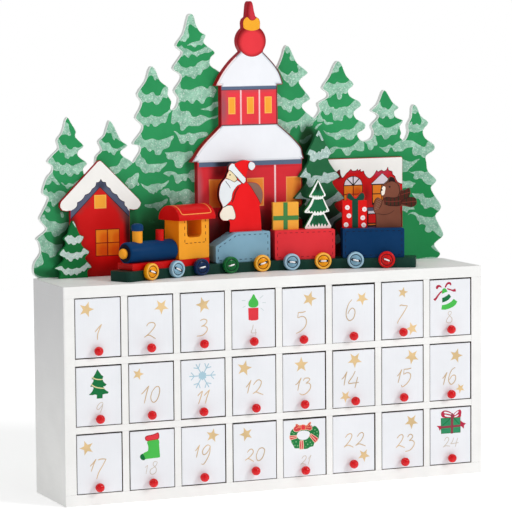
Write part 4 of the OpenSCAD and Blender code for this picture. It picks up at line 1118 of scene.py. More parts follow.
for n in range(1, 25):
    col, row = (n - 1) % 8, 2 - (n - 1) // 8
    x0 = -200 + 10 + col * (CELL_W + 6)
    cx = x0 + CELL_W / 2
    z = 10 + row * (CELL_H + 6)
    body = "drawer_%02d_body" % n
    node = "drawer_%02d" % n
    hw = CELL_W / 2 - 1.3
    y0, y1 = YF + 5.05, YF + 76 - 3
    zs = z + 2.85
    bm = bmesh.new()
    fx, fz = FIT[n - 1]
    rounded_box(bm, cx - CELL_W / 2 + 0.7 + fx, cx + CELL_W / 2 - 0.7 + fx, YF, YF + 5, z + 0.75 + fz, z + CELL_H - 1.0 + fz, 0.6, 3)
    bm.normal_update()
    # The front's edge faces take the dark raw board too, deepening the gaps: partly painted shade.
    for f in bm.faces:
        f.material_index = 1 if max(abs(f.normal.x), abs(f.normal.z)) > 0.97 else 0
    from_bmesh("front_%02d" % n, bm, [M["front"], M["raw_board_and_shade"]], body, (node,))
    bm = bmesh.new()
    rounded_box(bm, cx - hw, cx + hw, y0, y1, z + 0.3, z + 2.8, 0.2, 1, 0)
    rounded_box(bm, cx - hw, cx - hw + 3, y0, y1, zs, zs + 35, 0.3, 2, 0)
    rounded_box(bm, cx + hw - 3, cx + hw, y0, y1, zs, zs + 35, 0.3, 2, 0)
    rounded_box(bm, cx - hw + 3.05, cx + hw - 3.05, y1 - 3, y1, zs, zs + 35, 0.3, 2, 1)
    from_bmesh("tray_%02d" % n, bm, [M["ply"], M["ply_x"]], body, (node,))
    bm = bmesh.new()
    kx, kz = KNOB_OFF[n - 1]
    prof = [(-4.0, 0.0)]
    for k in range(1, 17):
        a = math.pi * k / 18
        prof.append((-4.0 * math.cos(a), 4.0 * math.sin(a)))
    prof += [(3.75, 1.62), (3.95, 1.5), (4.5, 1.5)]
    lathe(bm, prof, (cx + kx, YF - 4.5, z + 6.7 + kz), 48)
    from_bmesh("knob_%02d" % n, bm, [M["knob"]], body, (node,))
    layers = []
    if n in SMALL:
        for poly, m in SMALL[n]:
            layers.append((poly, m, 0.09))
        if n == 21:
            layers.insert(-6, (wreath_hole, "front", 0.05))
    for s in STARS.get(n, []):
        layers.append((star(*s), "star", 0.09))
    for line in DIGITS[n]:
        layers.append((ribbon(line, 0.62 if n in PALE else 0.85, 0.35), "gold_pale" if n in PALE else "gold", 0.12))
    clip = box2(cx - CELL_W / 2 + 2.0, cx + CELL_W / 2 - 2.0, z + 1.8, z + CELL_H - 2.2)
    paint("art_%02d" % n, clip, layers, on_front(YF), body)

# ------------------------------------------------------------------ forest

FOREST = [
    [(-173, 320), (-171, 325), (-169.5, 326.5), (-167, 325), (-166.5, 321), (-165.5, 318), (-165, 315.5), (-166.5, 314.5), (-168.5, 315.5), (-171, 316), (-175, 315.5)],
    [(-180, 312.5), (-176, 312), (-174.5, 308.5), (-172.5, 306.5), (-170, 306.8), (-168.8, 304.5), (-166.5, 302.7), (-164, 303), (-162.5, 304.5), (-160.5, 304.5), (-158, 303.8), (-155.5, 305), (-151, 307), (-151, 303), (-154.5, 302.8), (-157.5, 301), (-159, 299), (-161.5, 298.5), (-163.5, 296.5), (-166, 296.5), (-167.5, 294.7), (-169.5, 295), (-171, 296.5), (-171, 298.7), (-173, 300.5), (-174.8, 299.8), (-176.5, 302), (-180, 304)],
    [(-189, 293.5), (-185.5, 295), (-182.5, 296.5), (-181, 294.5), (-179.5, 292), (-177, 292), (-175, 290), (-173, 289), (-171, 289.5), (-169.5, 291), (-167, 289.8), (-165, 288.5), (-163, 288.3), (-161, 289.5), (-158, 290.3), (-156, 291), (-153, 291.5), (-148.5, 290.5), (-148.5, 288), (-152, 287.5), (-153, 285), (-154, 283.5), (-156.5, 283), (-158, 281), (-160, 280.3), (-162.5, 281.5), (-164, 280), (-165.5, 278.8), (-167.8, 279.3), (-169, 281), (-170.5, 282.5), (-172, 281), (-174, 280.7), (-175.5, 282), (-176.5, 284.5), (-178.5, 284), (-180.5, 284.8), (-182.5, 286.5), (-184, 288), (-189, 290)],
    [(-196, 279), (-190, 282.4), (-187, 283), (-182.5, 284.5), (-181.9, 281), (-179.3, 276.8), (-176.1, 272.8), (-176.6, 271.7), (-178.9, 272.4), (-180.7, 274.2), (-183.0, 275.6), (-184.9, 273.1), (-187.5, 272.4), (-192, 273)],
    [(-174.7, 274.0), (-172.9, 273.5), (-171.5, 271.7), (-169.7, 271.7), (-168.7, 272.5), (-167.3, 273.2), (-163.6, 272.3), (-161.8, 273.6), (-159.0, 275.2), (-155, 276.4), (-155, 273.4), (-161.8, 270.9), (-164.6, 270.2), (-166.9, 269.8), (-168.3, 268.1), (-169.7, 268.6), (-171.1, 270.7), (-172.9, 271.8), (-174.3, 273.1)],
    [(-194, 267), (-190, 268), (-188.5, 269.5), (-186.8, 266), (-184.1, 266.5), (-181.3, 264.6), (-178.5, 266.3), (-175.3, 266.8), (-172.1, 265.6), (-169.4, 263.6), (-168.6, 261.4), (-171.6, 259.6), (-175.0, 257.6), (-177.8, 256.2), (-180, 254.6), (-182, 252.8), (-183.6, 254.2), (-184.2, 257.4), (-187.0, 257.4), (-190, 258.5), (-194, 260)],
    [(-190, 255), (-187.5, 253.5), (-185.5, 252), (-185, 249.5), (-187, 248), (-189.5, 249.5), (-191, 252)],
    [(-176, 247.5), (-174, 248), (-172.5, 245), (-173.5, 243), (-175, 243.5), (-175.5, 246)],
    [(-197, 243), (-193.5, 245), (-190.5, 246.5), (-189.5, 243.5), (-187.5, 241.5), (-185, 240.3), (-182.5, 240.2), (-180.5, 240), (-178.5, 238.5), (-176, 237.8), (-173.5, 238), (-170, 239), (-168, 238), (-169.5, 234), (-172, 231), (-175, 229.5), (-177, 227.5), (-179, 227), (-181.5, 226.2), (-183.5, 228.5), (-184.5, 231), (-187, 231), (-190, 231.2), (-192, 236)],
    [(-199, 225.5), (-195.5, 227.5), (-192, 229.5), (-190, 226), (-187.5, 223), (-185.5, 222), (-183, 220.5), (-180.5, 219.5), (-177, 219.5), (-174, 219.5), (-176, 214.5), (-179.5, 212), (-181, 209.5), (-184, 208.5), (-186, 208.2), (-187.2, 211), (-189.5, 212.5), (-191, 213), (-194, 214.5), (-196, 219)],
    [(-200, 207), (-197, 210), (-194, 212.5), (-193, 209), (-192, 205), (-193, 202.5), (-195.5, 201.5), (-198, 200.3), (-201, 200)],
    [(-202, 195.5), (-197, 193), (-192, 191.5), (-186, 190.8), (-186, 189.5), (-203, 189.5)],
    # second pine
    [(-133, 330), (-125, 330), (-121, 321), (-117.5, 310.5), (-119, 308.5), (-120.5, 309.5), (-122.5, 311), (-124, 311), (-124.5, 309.5), (-126, 311), (-127, 314.5), (-127.5, 316), (-130, 316), (-132, 316.5), (-135, 316)],
    [(-141, 309.5), (-137, 310.5), (-135.5, 309), (-133, 307.3), (-130, 307.8), (-128.5, 306), (-127, 303.5), (-124.5, 302.3), (-122, 302), (-119.5, 303), (-117, 304), (-115, 305.5), (-110.5, 305.5), (-110.5, 302.5), (-116, 302), (-119.5, 300.5), (-121.5, 300.2), (-123.5, 298.5), (-124.5, 296.5), (-126.5, 297), (-128, 299), (-130, 298.7), (-131.5, 300.5), (-134, 300.5), (-137, 300.3), (-139, 302), (-142, 305)],
    [(-129.5, 285.5), (-126, 286.5), (-122.5, 287), (-120, 289.5), (-118.5, 292.5), (-116, 294.5), (-112, 294.5), (-108.5, 291.5), (-107.5, 289.3), (-109.5, 287), (-112, 285.5), (-114.5, 283.5), (-117, 284.5), (-119, 282.5), (-121.5, 280.5), (-124.5, 279.5), (-127, 282)],
    [(-115, 271), (-114, 273), (-112, 275.5), (-109.5, 276.2), (-107, 278), (-105, 279.5), (-102.5, 280), (-101.8, 277.5), (-102.8, 274.5), (-103, 272), (-101.5, 269.5), (-103, 268.5), (-104.5, 269.5), (-106.5, 267.5), (-109, 266.2), (-111.5, 266.8), (-112.8, 269)],
    # third pine
    [(-94, 365), (-92, 372), (-89, 377), (-85, 375), (-83, 367), (-81.5, 362), (-84, 363), (-85, 361.5), (-86.5, 362.5), (-87.5, 365), (-89.5, 366), (-91.5, 365), (-93, 363)],
    [(-105, 351.5), (-100.3, 354), (-98.5, 353), (-98, 351.5), (-96.5, 350), (-94, 349), (-91.5, 349.5), (-89, 351), (-87, 350.8), (-85.5, 348.5), (-83, 347.8), (-81, 348.5), (-79.8, 351), (-78.5, 353.5), (-76.5, 355.5), (-72, 355.5), (-72, 350), (-73, 348.3), (-74.5, 345.5), (-76.5, 346), (-78.5, 346), (-80.3, 342.8), (-82.5, 340.5), (-84.5, 339.7), (-86, 340.5), (-87.5, 342.3), (-89, 343), (-91, 342), (-93, 341.8), (-95, 343), (-96.5, 342.3), (-98.5, 341.5), (-100, 343), (-103, 347)],
    [(-108, 329), (-103.5, 332), (-100.5, 333.8), (-99.5, 331.5), (-98, 330), (-95, 328.8), (-92, 329.5), (-89.3, 331), (-87, 329.8), (-83, 329.2), (-80.5, 329.5), (-78.5, 330.8), (-76.5, 332.2), (-74, 333.5), (-72, 335.5), (-70, 337), (-69.5, 335), (-71, 333.5), (-73, 331.5), (-74, 328.5), (-75, 326), (-76.5, 323.5), (-78.5, 323.8), (-80.5, 323.3), (-82.5, 322), (-85, 320.5), (-87.5, 320.8), (-89, 323), (-91, 322.8), (-91.7, 320.8), (-93.5, 321), (-95.5, 322.3), (-97.5, 321), (-99.5, 322.5), (-103, 326)],
    [(-109, 305.5), (-104.5, 309.5), (-101.5, 313.5), (-99.5, 314.5), (-98.5, 311.5), (-97.5, 310), (-95.5, 308.8), (-92, 309.3), (-88.5, 310), (-85.5, 309), (-83, 308.3), (-80.5, 308.8), (-77.5, 309.5), (-74, 310.5), (-71, 311.5), (-68.5, 312), (-69, 309.5), (-71, 307), (-72, 304), (-73.5, 301.8), (-76.5, 300.5), (-78.5, 300), (-79.8, 298.3), (-81.5, 295.5), (-84, 295.3), (-86.3, 295.8), (-86.8, 298.5), (-88.5, 300), (-91, 298.5), (-93, 299.5), (-94.5, 301.5), (-96, 302.8), (-97.8, 302.2), (-100, 301), (-102, 303), (-106, 304.5)],
    [(-106, 294), (-102, 297.5), (-100, 296.5), (-99.3, 294), (-97.5, 292.8), (-96, 291.5), (-94.7, 288.5), (-92.5, 287.3), (-89, 287.3), (-86, 287.3), (-83.5, 287.5), (-81, 287.3), (-78.5, 287.8), (-75.2, 288.6), (-75.8, 286.8), (-78, 284.5), (-80.3, 282.8), (-82, 280.5), (-83.7, 280), (-86, 280.5), (-88, 279.5), (-91, 280), (-93, 280), (-95.3, 279.2), (-98, 280.5), (-99.8, 282.8), (-100.5, 284.5), (-102, 285.5), (-103.8, 286.2), (-105, 288.5)],
    [(-100.5, 270.5), (-98, 269.5), (-96, 268.5), (-94, 267.8), (-92, 268.3), (-90, 269.5), (-87, 269.5), (-84, 270), (-81, 269.5), (-78.5, 269.8), (-76.5, 270.8), (-74, 272.3), (-73.7, 271), (-75.5, 269), (-77, 267.2), (-79.2, 266.5), (-80.5, 264.5), (-82.5, 264.3), (-84.3, 263.3), (-85.3, 261.8), (-87, 262.3), (-88.3, 260.5), (-90.5, 261.5), (-92, 262), (-93.8, 264), (-95.5, 265.2), (-97.5, 266.8)],
    [(-96.5, 251.5), (-93, 251.7), (-89.5, 252), (-86.5, 252.8), (-83, 253.3), (-80, 254), (-77.5, 255.5), (-75, 256), (-74.8, 254.5), (-76.5, 251.7), (-78.7, 250.5), (-81, 248.3), (-82.5, 247.3), (-84.3, 245.5), (-86, 247), (-88, 248.5), (-91.5, 248.3), (-94, 248.8), (-96.5, 250)],
    # fourth pine
    [(-56, 409), (-55, 414), (-54, 421), (-47, 421), (-45.5, 412), (-44, 407), (-46, 407.2), (-48, 408.3), (-50, 409.8), (-51.5, 410.5), (-53, 409.5), (-54, 406)],
    [(-60, 402), (-56.5, 405.5), (-55, 403.5), (-53, 402.5), (-53, 399), (-55.5, 397), (-57, 395), (-59.5, 396), (-62, 398)],
    [(-55, 391.7), (-52, 393.5), (-49.5, 394.5), (-47.5, 395), (-45, 395.5), (-42.8, 396), (-41.7, 398.5), (-40, 401), (-36, 401), (-36, 398), (-39, 395), (-39.5, 393), (-41, 391.7), (-43, 392.2), (-45.5, 391.7), (-47, 390), (-49, 390.7), (-51, 392)],
    [(-68, 391), (-64, 391), (-62, 391), (-60, 392), (-58, 389.7), (-55, 389), (-52, 387.5), (-49, 386), (-46, 386.5), (-43, 387.5), (-40, 388.8), (-37, 390.5), (-32, 389.5), (-31, 386.5), (-35, 385), (-38, 385), (-41, 384), (-43.5, 383), (-45.5, 381.5), (-47.5, 383), (-50, 384), (-52, 383), (-53.5, 380.7), (-55.5, 382), (-57.5, 383.5), (-60, 382), (-63, 386)],
    [(-70, 371.5), (-66, 376), (-63.7, 377.2), (-62.5, 376), (-61, 374), (-59, 372.8), (-56.5, 372), (-54, 372.3), (-51.5, 373.3), (-49, 372.8), (-46.5, 374), (-45, 376), (-42.5, 377.2), (-40.3, 378.2), (-36.5, 377.8), (-32.5, 379), (-31.5, 375), (-34, 373), (-35.3, 371.5), (-37.5, 370.5), (-39.8, 369.5), (-41, 367.3), (-42.5, 365.5), (-44.8, 365.5), (-46.5, 363.8), (-48, 362), (-50.3, 362.8), (-52, 364), (-54.3, 364.2), (-56, 365.5), (-57.5, 364.5), (-59.3, 363.2), (-61, 364.5), (-64, 369)],
    [(-69, 353.5), (-66, 357), (-63.5, 359.5), (-62, 360), (-61, 354.5), (-58.7, 352.8), (-56.5, 353), (-53, 352.3), (-50.3, 352.8), (-47.5, 354), (-44.3, 355), (-41, 355.5), (-38.7, 354.5), (-35.3, 353), (-34, 355), (-31.5, 355.5), (-29, 354), (-27, 351), (-28.5, 348), (-30, 345), (-32, 345.5), (-34.3, 346), (-36.5, 345), (-38, 343.3), (-39.2, 340.5), (-41, 339.5), (-43, 341), (-44.8, 342.8), (-46.5, 343.3), (-48, 342.2), (-49.8, 340), (-52, 340.5), (-53.7, 342.2), (-55.3, 343.3), (-57.5, 341.7), (-59.3, 342.2), (-61.5, 342.2), (-63.2, 340.5), (-65, 345), (-67, 351)],
    [(-69.5, 333.5), (-66.5, 336), (-64.5, 338.5), (-63, 340), (-62.5, 336.5), (-61.5, 334), (-58.7, 333.3), (-55.3, 333.7), (-53, 332.5), (-51.5, 330), (-49.8, 328.3), (-46.5, 328.3), (-43.5, 329.7), (-41, 329.5), (-37.5, 328.3), (-34.3, 326.8), (-31, 327.8), (-26, 329), (-26, 327.7), (-29, 326), (-32, 326), (-35.3, 325), (-38.7, 323.3), (-41, 321.7), (-44.3, 320), (-47.5, 320), (-51, 320), (-53.5, 320.5), (-55, 320), (-56.5, 319), (-58, 317.2), (-60.3, 316), (-62, 317.2), (-62.2, 320), (-63, 322.2), (-64.8, 324), (-66.5, 323.5), (-68.7, 322.2), (-70.3, 322.8), (-70.8, 325), (-70.3, 329)],
    [(-42.5, 335), (-38.7, 335.6), (-35.3, 336.7), (-32, 338.3), (-30.3, 340.5), (-28, 341), (-25.5, 341), (-25.5, 337), (-28.7, 336), (-31, 333.5), (-33, 333), (-35.5, 333.8), (-39, 334)],
    [(-68.2, 316), (-66, 315.5), (-64, 314), (-62.5, 312.8), (-60, 312.5), (-57, 312.8), (-54.2, 314.4), (-51.5, 313.5), (-48.7, 313.3), (-45.3, 314), (-41, 314.5), (-36.5, 314), (-36, 311), (-43, 309), (-45.3, 308.3), (-47, 306.7), (-48.7, 304.5), (-49.8, 303.3), (-52, 303.3), (-53.7, 304.5), (-54.2, 306.7), (-56, 307), (-58, 305), (-60.3, 304.5), (-62, 305.2), (-63, 307.2), (-64, 309.5), (-65.3, 312.2), (-67, 314.5)],
    [(-77, 297.2), (-73.7, 297.2), (-69.8, 297.4), (-66.5, 297.8), (-63.2, 297.8), (-60.3, 297), (-57.5, 296.7), (-55.3, 297.4), (-53, 297.8), (-51, 297.5), (-50, 294), (-53, 291), (-55.5, 289), (-57.5, 288), (-59.2, 286.5), (-60.3, 284.5), (-62, 283), (-64.3, 283), (-66.8, 284), (-67.8, 286.2), (-68.2, 289), (-70, 290.8), (-72, 291), (-74, 291.2), (-75.5, 293), (-75.5, 295.2)],
    [(-78.7, 278.5), (-76.5, 280), (-73, 280.5), (-69.3, 280), (-67, 279), (-64.8, 277.3), (-62, 277.3), (-58.7, 277.8), (-56, 277.5), (-54.2, 278.5), (-52.5, 280.5), (-50.3, 281), (-47, 280), (-47, 271), (-51, 270), (-52.5, 271.7), (-54.5, 274), (-56, 274), (-57, 271.2), (-59.2, 271.5), (-61, 271.7), (-63.2, 270), (-64.8, 269), (-66.5, 269.5), (-67.5, 271.2), (-68.2, 274), (-69.3, 276.7), (-71.5, 277.2), (-73, 275.7), (-75.3, 276.7), (-77.5, 277.8)],
    [(-81.5, 262), (-79.5, 264), (-76.5, 265), (-73.7, 265), (-72, 262.8), (-70, 263.3), (-67.5, 262), (-64.8, 262.2), (-62, 262.6), (-59.2, 263.8), (-56.5, 264), (-53.5, 263), (-51.5, 261), (-48, 259), (-48, 250), (-53, 249.8), (-56.5, 250.5), (-60, 250.3), (-62, 253), (-64.5, 253), (-67.5, 251.5), (-69.5, 250.3), (-72, 250.5), (-73, 254), (-73.2, 256.5), (-75, 258.3), (-76.5, 259.5), (-78.7, 259), (-80.3, 260)],
    # fifth pine
    [(39.5, 388), (39.5, 392), (45.5, 392), (48, 384), (50, 378), (49, 376.5), (47, 376.3), (45.3, 377), (44.5, 379), (45.3, 381.5), (45, 383.5), (44, 384.2), (43, 383), (41.5, 383.2), (40.3, 385.5)],
    [(32, 371), (34.5, 369), (36, 367), (38, 366), (40, 365), (42, 363.8), (44, 364.2), (45.5, 366), (47, 367.2), (48.5, 366), (50.5, 365.5), (52.5, 366), (53, 368.5), (52, 371.5), (54, 373), (60, 370), (64, 366.5), (61, 362), (56.5, 360), (53.8, 358.3), (52, 356.8), (51, 355.8), (49.5, 354.5), (48, 353.5), (46, 353), (44.5, 354), (43.5, 356), (41.5, 357.2), (40, 358.5), (38, 361), (35, 366)],
    [(30, 348), (34, 346), (36, 343.8), (38.5, 343.5), (41, 342.5), (43.5, 341), (46, 340.5), (48, 341), (50.5, 342.8), (53, 342.5), (56, 343), (58.5, 345), (59.5, 347), (59, 350), (62, 349.5), (66, 343), (64, 339.3), (59.5, 339), (57.5, 337.3), (56.5, 334.8), (54, 332.8), (52, 332.5), (50, 333.8), (49, 335), (47.5, 335.5), (46.5, 333), (45.5, 330.5), (44, 329.5), (42, 331), (40.5, 332.2), (38.5, 332.2), (37, 334), (35.5, 336), (30, 336.5)],
    [(30, 323.5), (35, 323.8), (37, 322.5), (40, 321.5), (42, 320.8), (45, 321.5), (47.5, 322), (50, 321.8), (53, 322.8), (55.5, 325), (58, 327), (60, 329.5), (63, 329.5), (71.5, 325), (70, 322), (68, 320.5), (67, 318), (65, 316.8), (63, 316.5), (61, 317), (59.5, 315), (58, 312.5), (56.2, 311.5), (55, 313), (54.5, 316), (53.5, 318), (52.2, 318), (51.2, 315.5), (49.8, 315.5), (49, 317), (47.5, 316.5), (46, 315), (44.5, 313), (43, 311), (30, 320)],
    [(54, 304.5), (58, 305), (60, 307), (63, 308.5), (66, 309), (62, 303), (58, 301), (55, 302)],
    # sixth pine
    [(88, 368), (90, 376), (94, 377), (96.5, 372), (95.5, 370.5), (93.5, 369), (93.3, 366), (91, 365.2), (89, 365), (86, 364)],
    [(75, 352), (78.5, 354.5), (80.5, 355.3), (83, 356.5), (85, 355.5), (87, 354.8), (89, 354.5), (90.5, 355.5), (92, 356.5), (94, 355.5), (97, 355.2), (100, 355.5), (102, 356.5), (104, 357.8), (107, 357), (110, 353), (106, 349), (102.5, 348), (101.5, 346), (99.5, 345.5), (98, 346), (96.5, 345), (96.2, 342), (94.5, 340.5), (92.5, 340.5), (91.5, 342.5), (91, 345.5), (90, 346.2), (88.5, 345), (86.5, 344), (85, 342.5), (82.5, 342), (80.5, 342), (82.5, 345), (81, 348), (77, 350)],
    [(70, 338.5), (75, 339), (78, 340), (81, 340.2), (82, 338), (83, 335.5), (85, 333.5), (87.5, 333.8), (89, 332), (91.5, 331.8), (93.5, 333), (96, 333.2), (99, 333.8), (101.5, 333.5), (103.5, 334.5), (105.5, 336), (107.5, 338), (109.5, 339.5), (113, 341), (116, 336), (114, 332), (109, 330), (107, 325), (105.5, 323.2), (103.5, 323), (101.5, 324.5), (100, 326), (98.5, 326), (97.5, 324.5), (96.8, 321.5), (95, 320.8), (92, 321.5), (89, 321.2), (87.5, 322.5), (87, 326), (86, 328.5), (84.5, 328.5), (83, 327), (81, 326.5), (79, 327.5), (77.5, 330), (76, 330), (75, 327), (76.5, 324), (77, 321), (74, 320.5), (71.5, 321), (72, 325), (74, 330), (73, 335)],
    [(77.5, 323), (78.5, 319.5), (81, 317.5), (84, 318), (87, 318.3), (87, 319.5), (84, 320), (81, 320.2), (79.5, 322)],
    [(69, 315), (72, 318), (76, 319.5), (76, 318.5), (73, 316.5), (70.5, 313.8)],
    [(77.5, 313), (79.5, 311.5), (82.5, 310.5), (85.5, 310), (89, 310.2), (92, 310.5), (94.5, 312), (98, 313), (102, 312.5), (105, 312.8), (108, 314.5), (110, 317), (112, 319), (114, 320.5), (121, 321), (121.5, 314), (116, 312), (113, 310.5), (111.5, 308), (109.5, 307), (108, 304.5), (106, 303.2), (104, 303), (101.5, 303.5), (100, 304.5), (98.5, 306), (96.5, 306.5), (95, 305.5), (94, 304.5), (91, 303.5), (89, 304.5), (87.5, 306), (85, 307), (82, 308), (79.5, 310)],
    [(82, 293.5), (84, 295.5), (86.5, 297), (90, 297.5), (94, 296.5), (98, 296.2), (102, 296.5), (105, 297), (108, 298.5), (110.5, 300.5), (112.5, 302.5), (115, 304), (118, 302), (118.5, 296), (118, 293), (115.5, 292.5), (112, 293), (110, 294), (108, 293.5), (106, 292.5), (104.5, 290), (102.5, 288.8), (100, 289), (98.5, 291), (97, 293), (95.5, 295), (93, 295.5), (90, 295), (88.5, 293), (87, 291.5), (84, 291)],
    # seventh pine
    [(124, 329), (128.5, 332.5), (132, 334.8), (134.7, 337.5), (135.2, 335.3), (135.8, 333.7), (137.5, 332), (139.7, 332), (141.3, 330.9), (143, 330), (144.7, 330.9), (146.3, 333), (148, 335.3), (151, 336), (155, 332), (152, 329), (150, 326.5), (149, 323), (146.5, 321.3), (144.5, 321.5), (143, 323.3), (140.5, 324), (138.5, 322), (136.5, 322), (134.5, 323), (132.5, 323.5), (131, 326), (128, 328)],
    [(124, 316.5), (128, 318.7), (130.8, 321), (132.3, 321.5), (133, 318.7), (135.2, 316.4), (137.5, 315.3), (139, 313.7), (142.5, 313.3), (145.2, 313.7), (148, 314.8), (151.3, 316.4), (155.2, 318), (160, 320.5), (160, 317), (156, 315.5), (154, 313), (152.5, 309.5), (151, 306.8), (148, 306.5), (145.8, 306.4), (144, 304.8), (142, 303), (139.7, 302.5), (138, 303.7), (137, 306), (135.5, 307), (133, 306.2), (131, 306.4), (129, 307.5), (128, 312), (126, 314)],
    [(119, 300.5), (122, 302), (125, 304), (128.5, 307), (130.3, 305.5), (131, 302), (132, 298.7), (130.8, 297), (128.5, 297), (127.5, 294.8), (125.8, 293.3), (124, 293.3), (122.5, 294.8), (121.3, 298.7)],
    [(133.5, 296), (137, 295.3), (140.5, 296), (142.5, 297), (144.7, 297.8), (146.5, 296.5), (148.5, 297), (150.2, 298.7), (153.5, 300.3), (157, 301.5), (160, 301), (163.5, 301.2), (167, 301), (170.2, 299.3), (173, 297.5), (175.8, 296), (178, 294.8), (181, 295), (183.5, 299.5), (187, 298.5), (192, 297), (192, 290), (187, 288.5), (183, 286.5), (181, 284.5), (178, 285), (176, 287), (173.5, 287.3), (171, 286.5), (168.5, 287.5), (167.5, 290), (167.5, 292.5), (168, 294.5), (165.5, 294.5), (162.5, 294.2), (160, 293.3), (158, 291.5), (155.5, 291), (152.5, 291.3), (150, 290.8), (148.3, 292), (147, 294.5), (145.5, 295), (144, 293), (142.3, 290.5), (140.3, 290.8), (138, 292.5), (135.8, 294.3)],
    # eighth pine
    [(166.5, 326), (167, 331), (170, 336), (174, 332), (175.5, 327.5), (172.5, 326.8), (170.8, 325.3), (168.5, 326)],
    [(162, 315.5), (165.5, 317.5), (167, 318.5), (167.5, 316.5), (168.5, 315.3), (170.2, 315.5), (172, 316.5), (173.5, 315.8), (175.2, 314.8), (176.3, 316), (177, 318.7), (176, 322), (175, 325.5), (178, 325), (186, 317.5), (181.5, 313), (179, 311.5), (178.5, 309.8), (175.8, 309.2), (173.5, 308), (171.3, 308.4), (169.7, 307.8), (167.5, 308.7), (165.2, 308.9), (163, 308)],
    [(156, 284), (158.5, 283.5), (161, 282.5), (164, 281.5), (168, 281.5), (171.5, 283), (175, 283.5), (172.5, 281.3), (170, 279.3), (168.5, 278), (167, 276.5), (164.7, 275.3), (162.5, 272.5), (159, 272), (156, 272.5)],
    [(163.5, 272.5), (167, 271.5), (170.5, 272.3), (174, 272.3), (177, 272.3), (180, 271), (183.5, 271.5), (187, 269.5), (193.5, 264), (193, 260), (189, 259), (186, 259), (182.5, 259.8), (180.2, 261.5), (178.5, 263.2), (177, 265), (174.5, 265.5), (172.5, 264.8), (170.3, 264.8), (168.5, 266.5), (169.5, 269), (167, 270.5)],
    [(156, 264.3), (160, 263.2), (164.7, 263.7), (168, 262), (170.8, 261.2), (168.5, 259.2), (167, 257), (164.7, 257.5), (162.5, 256.5), (160.2, 257.5), (156, 257)],
    [(167, 252), (170.2, 251.5), (173.5, 251.5), (175.8, 251), (178.5, 251.5), (180.2, 248), (183.5, 247), (186.3, 247), (189, 248), (191.5, 249), (198.5, 240), (197, 235), (193.5, 234.8), (191.3, 236), (189, 237.5), (186, 238.5), (183.5, 237.5), (180.2, 237), (178.5, 239.8), (176.3, 241.5), (175.8, 244.2), (174, 246.5), (171.3, 247), (169, 249.2)],
    [(156, 243), (161, 242), (165.8, 241), (168, 239.8), (169.7, 237), (167, 237), (163.5, 236.5), (162, 234.2), (159, 235.8), (156, 237.5)],
    [(162.5, 232), (165.8, 234.2), (170.2, 234.2), (173.5, 232), (177, 230.8), (179.7, 229.7), (183.5, 229.2), (188, 228.7), (192, 229.5), (200.5, 217), (200.5, 209), (197, 210), (193.5, 212), (190, 215.3), (188, 216.4), (185.2, 214.8), (182, 215.3), (180.2, 217.5), (181.3, 221), (179, 222.5), (176.3, 223), (174.7, 222.5), (174.5, 225.3), (172.5, 227), (171.3, 230.3), (169, 232), (165.8, 233)],
    [(187, 201.5), (190, 203.5), (192, 200.5), (195, 198), (197, 195.5), (193, 196.5), (190, 198.5)],
    [(172, 190.5), (180, 191.5), (188, 191.8), (194, 190.8), (194, 189), (172, 189)],
]

to_back = lambda p: p.normal.y > 0.98
front = Vector((0, -1, 0))
dress("forest_board", "forest_edge", 0.45, rules=((to_back, "forest_back"),))
forest_line = outline_of("forest_board", flat_inverse, front)
FOREST.append([(-55.5, 412), (-53.6, 411), (-54, 407), (-53.3, 403), (-53.2, 399.5), (-54.8, 397.5), (-56.5, 395), (-58, 396.5),
               (-60.5, 395.5), (-62, 397.5), (-63, 396), (-66, 393.5), (-66.5, 391), (-62, 400), (-58, 406)])
layers = [(loop(p, 3), "snow", 0.22) for p in FOREST]
paint("forest_face", inset(forest_line, 0.55), layers, on_front(35), "cabinet",
      ground=("forest", 0.10))

# ------------------------------------------------------------------ tower

dress("tower_board", "red_edge", 0.4)
tower_line = outline_of("tower_board", flat_inverse, front)


WALL, MIDDLE, DEEP = inset(tower_line, 0.45), inset(tower_line, 1.4), inset(tower_line, 2.6)
layers = [
    (cut(WALL, 381, 440), "tower_dark", 0.10),
    (cut(WALL, 319.8, 356), "tower_drum", 0.12),
    (cut(WALL, 354.7, 386.5), "snow_rim", 0.24),
    (cut(MIDDLE, 354.7, 386.5), "snow_mid", 0.27),
    (cut(DEEP, 355.3, 386.5), "roof_snow", 0.3),
    (disc(4.9, 394.9, 14.0, 56), "tower_ball", 0.32),
    (loop([(1.0, 416.5), (1.9, 414.8), (3.4, 413.8), (5.3, 413.3), (7.2, 413.8), (8.6, 415), (9.3, 416.8), (9.4, 420),
           (8.9, 425), (7.8, 430.6), (2.2, 430.6), (1.2, 426), (0.8, 420)], 3), "spike", 0.2),
    (loop([(-3.6, 409.8), (-3.1, 407.0), (-0.5, 405.2), (5, 404.2), (10, 405), (12.6, 406.8), (13.5, 409.5), (13.4, 412.5),
           (11.8, 415), (9.8, 416.2), (8.8, 415), (7.4, 413.7), (5.3, 413.1), (3.2, 413.7), (1.7, 415.1), (0.4, 416.2),
           (-1.6, 415.6), (-3.2, 413.0)], 3), "gold_band", 0.36),
    (box2(-25.3, 31, 351.7, 354.7), "slate", 0.16),
    (ribbon([(-26, 351.6), (30, 351.6)], 0.4, 0, 0), "brown_line", 0.17),
    (ribbon([(-26, 320.2), (30.5, 320.2)], 0.7, 0, 0), "brown_line", 0.17),
    (cut(WALL, 287.5, 319.8), "snow_rim", 0.24),
    (cut(MIDDLE, 287.9, 319.5), "snow_mid", 0.27),
    (cut(DEEP, 289.4, 318.9), "roof_snow", 0.3),
    (box2(-47.3, 54, 283.5, 287.5), "slate", 0.16),
]
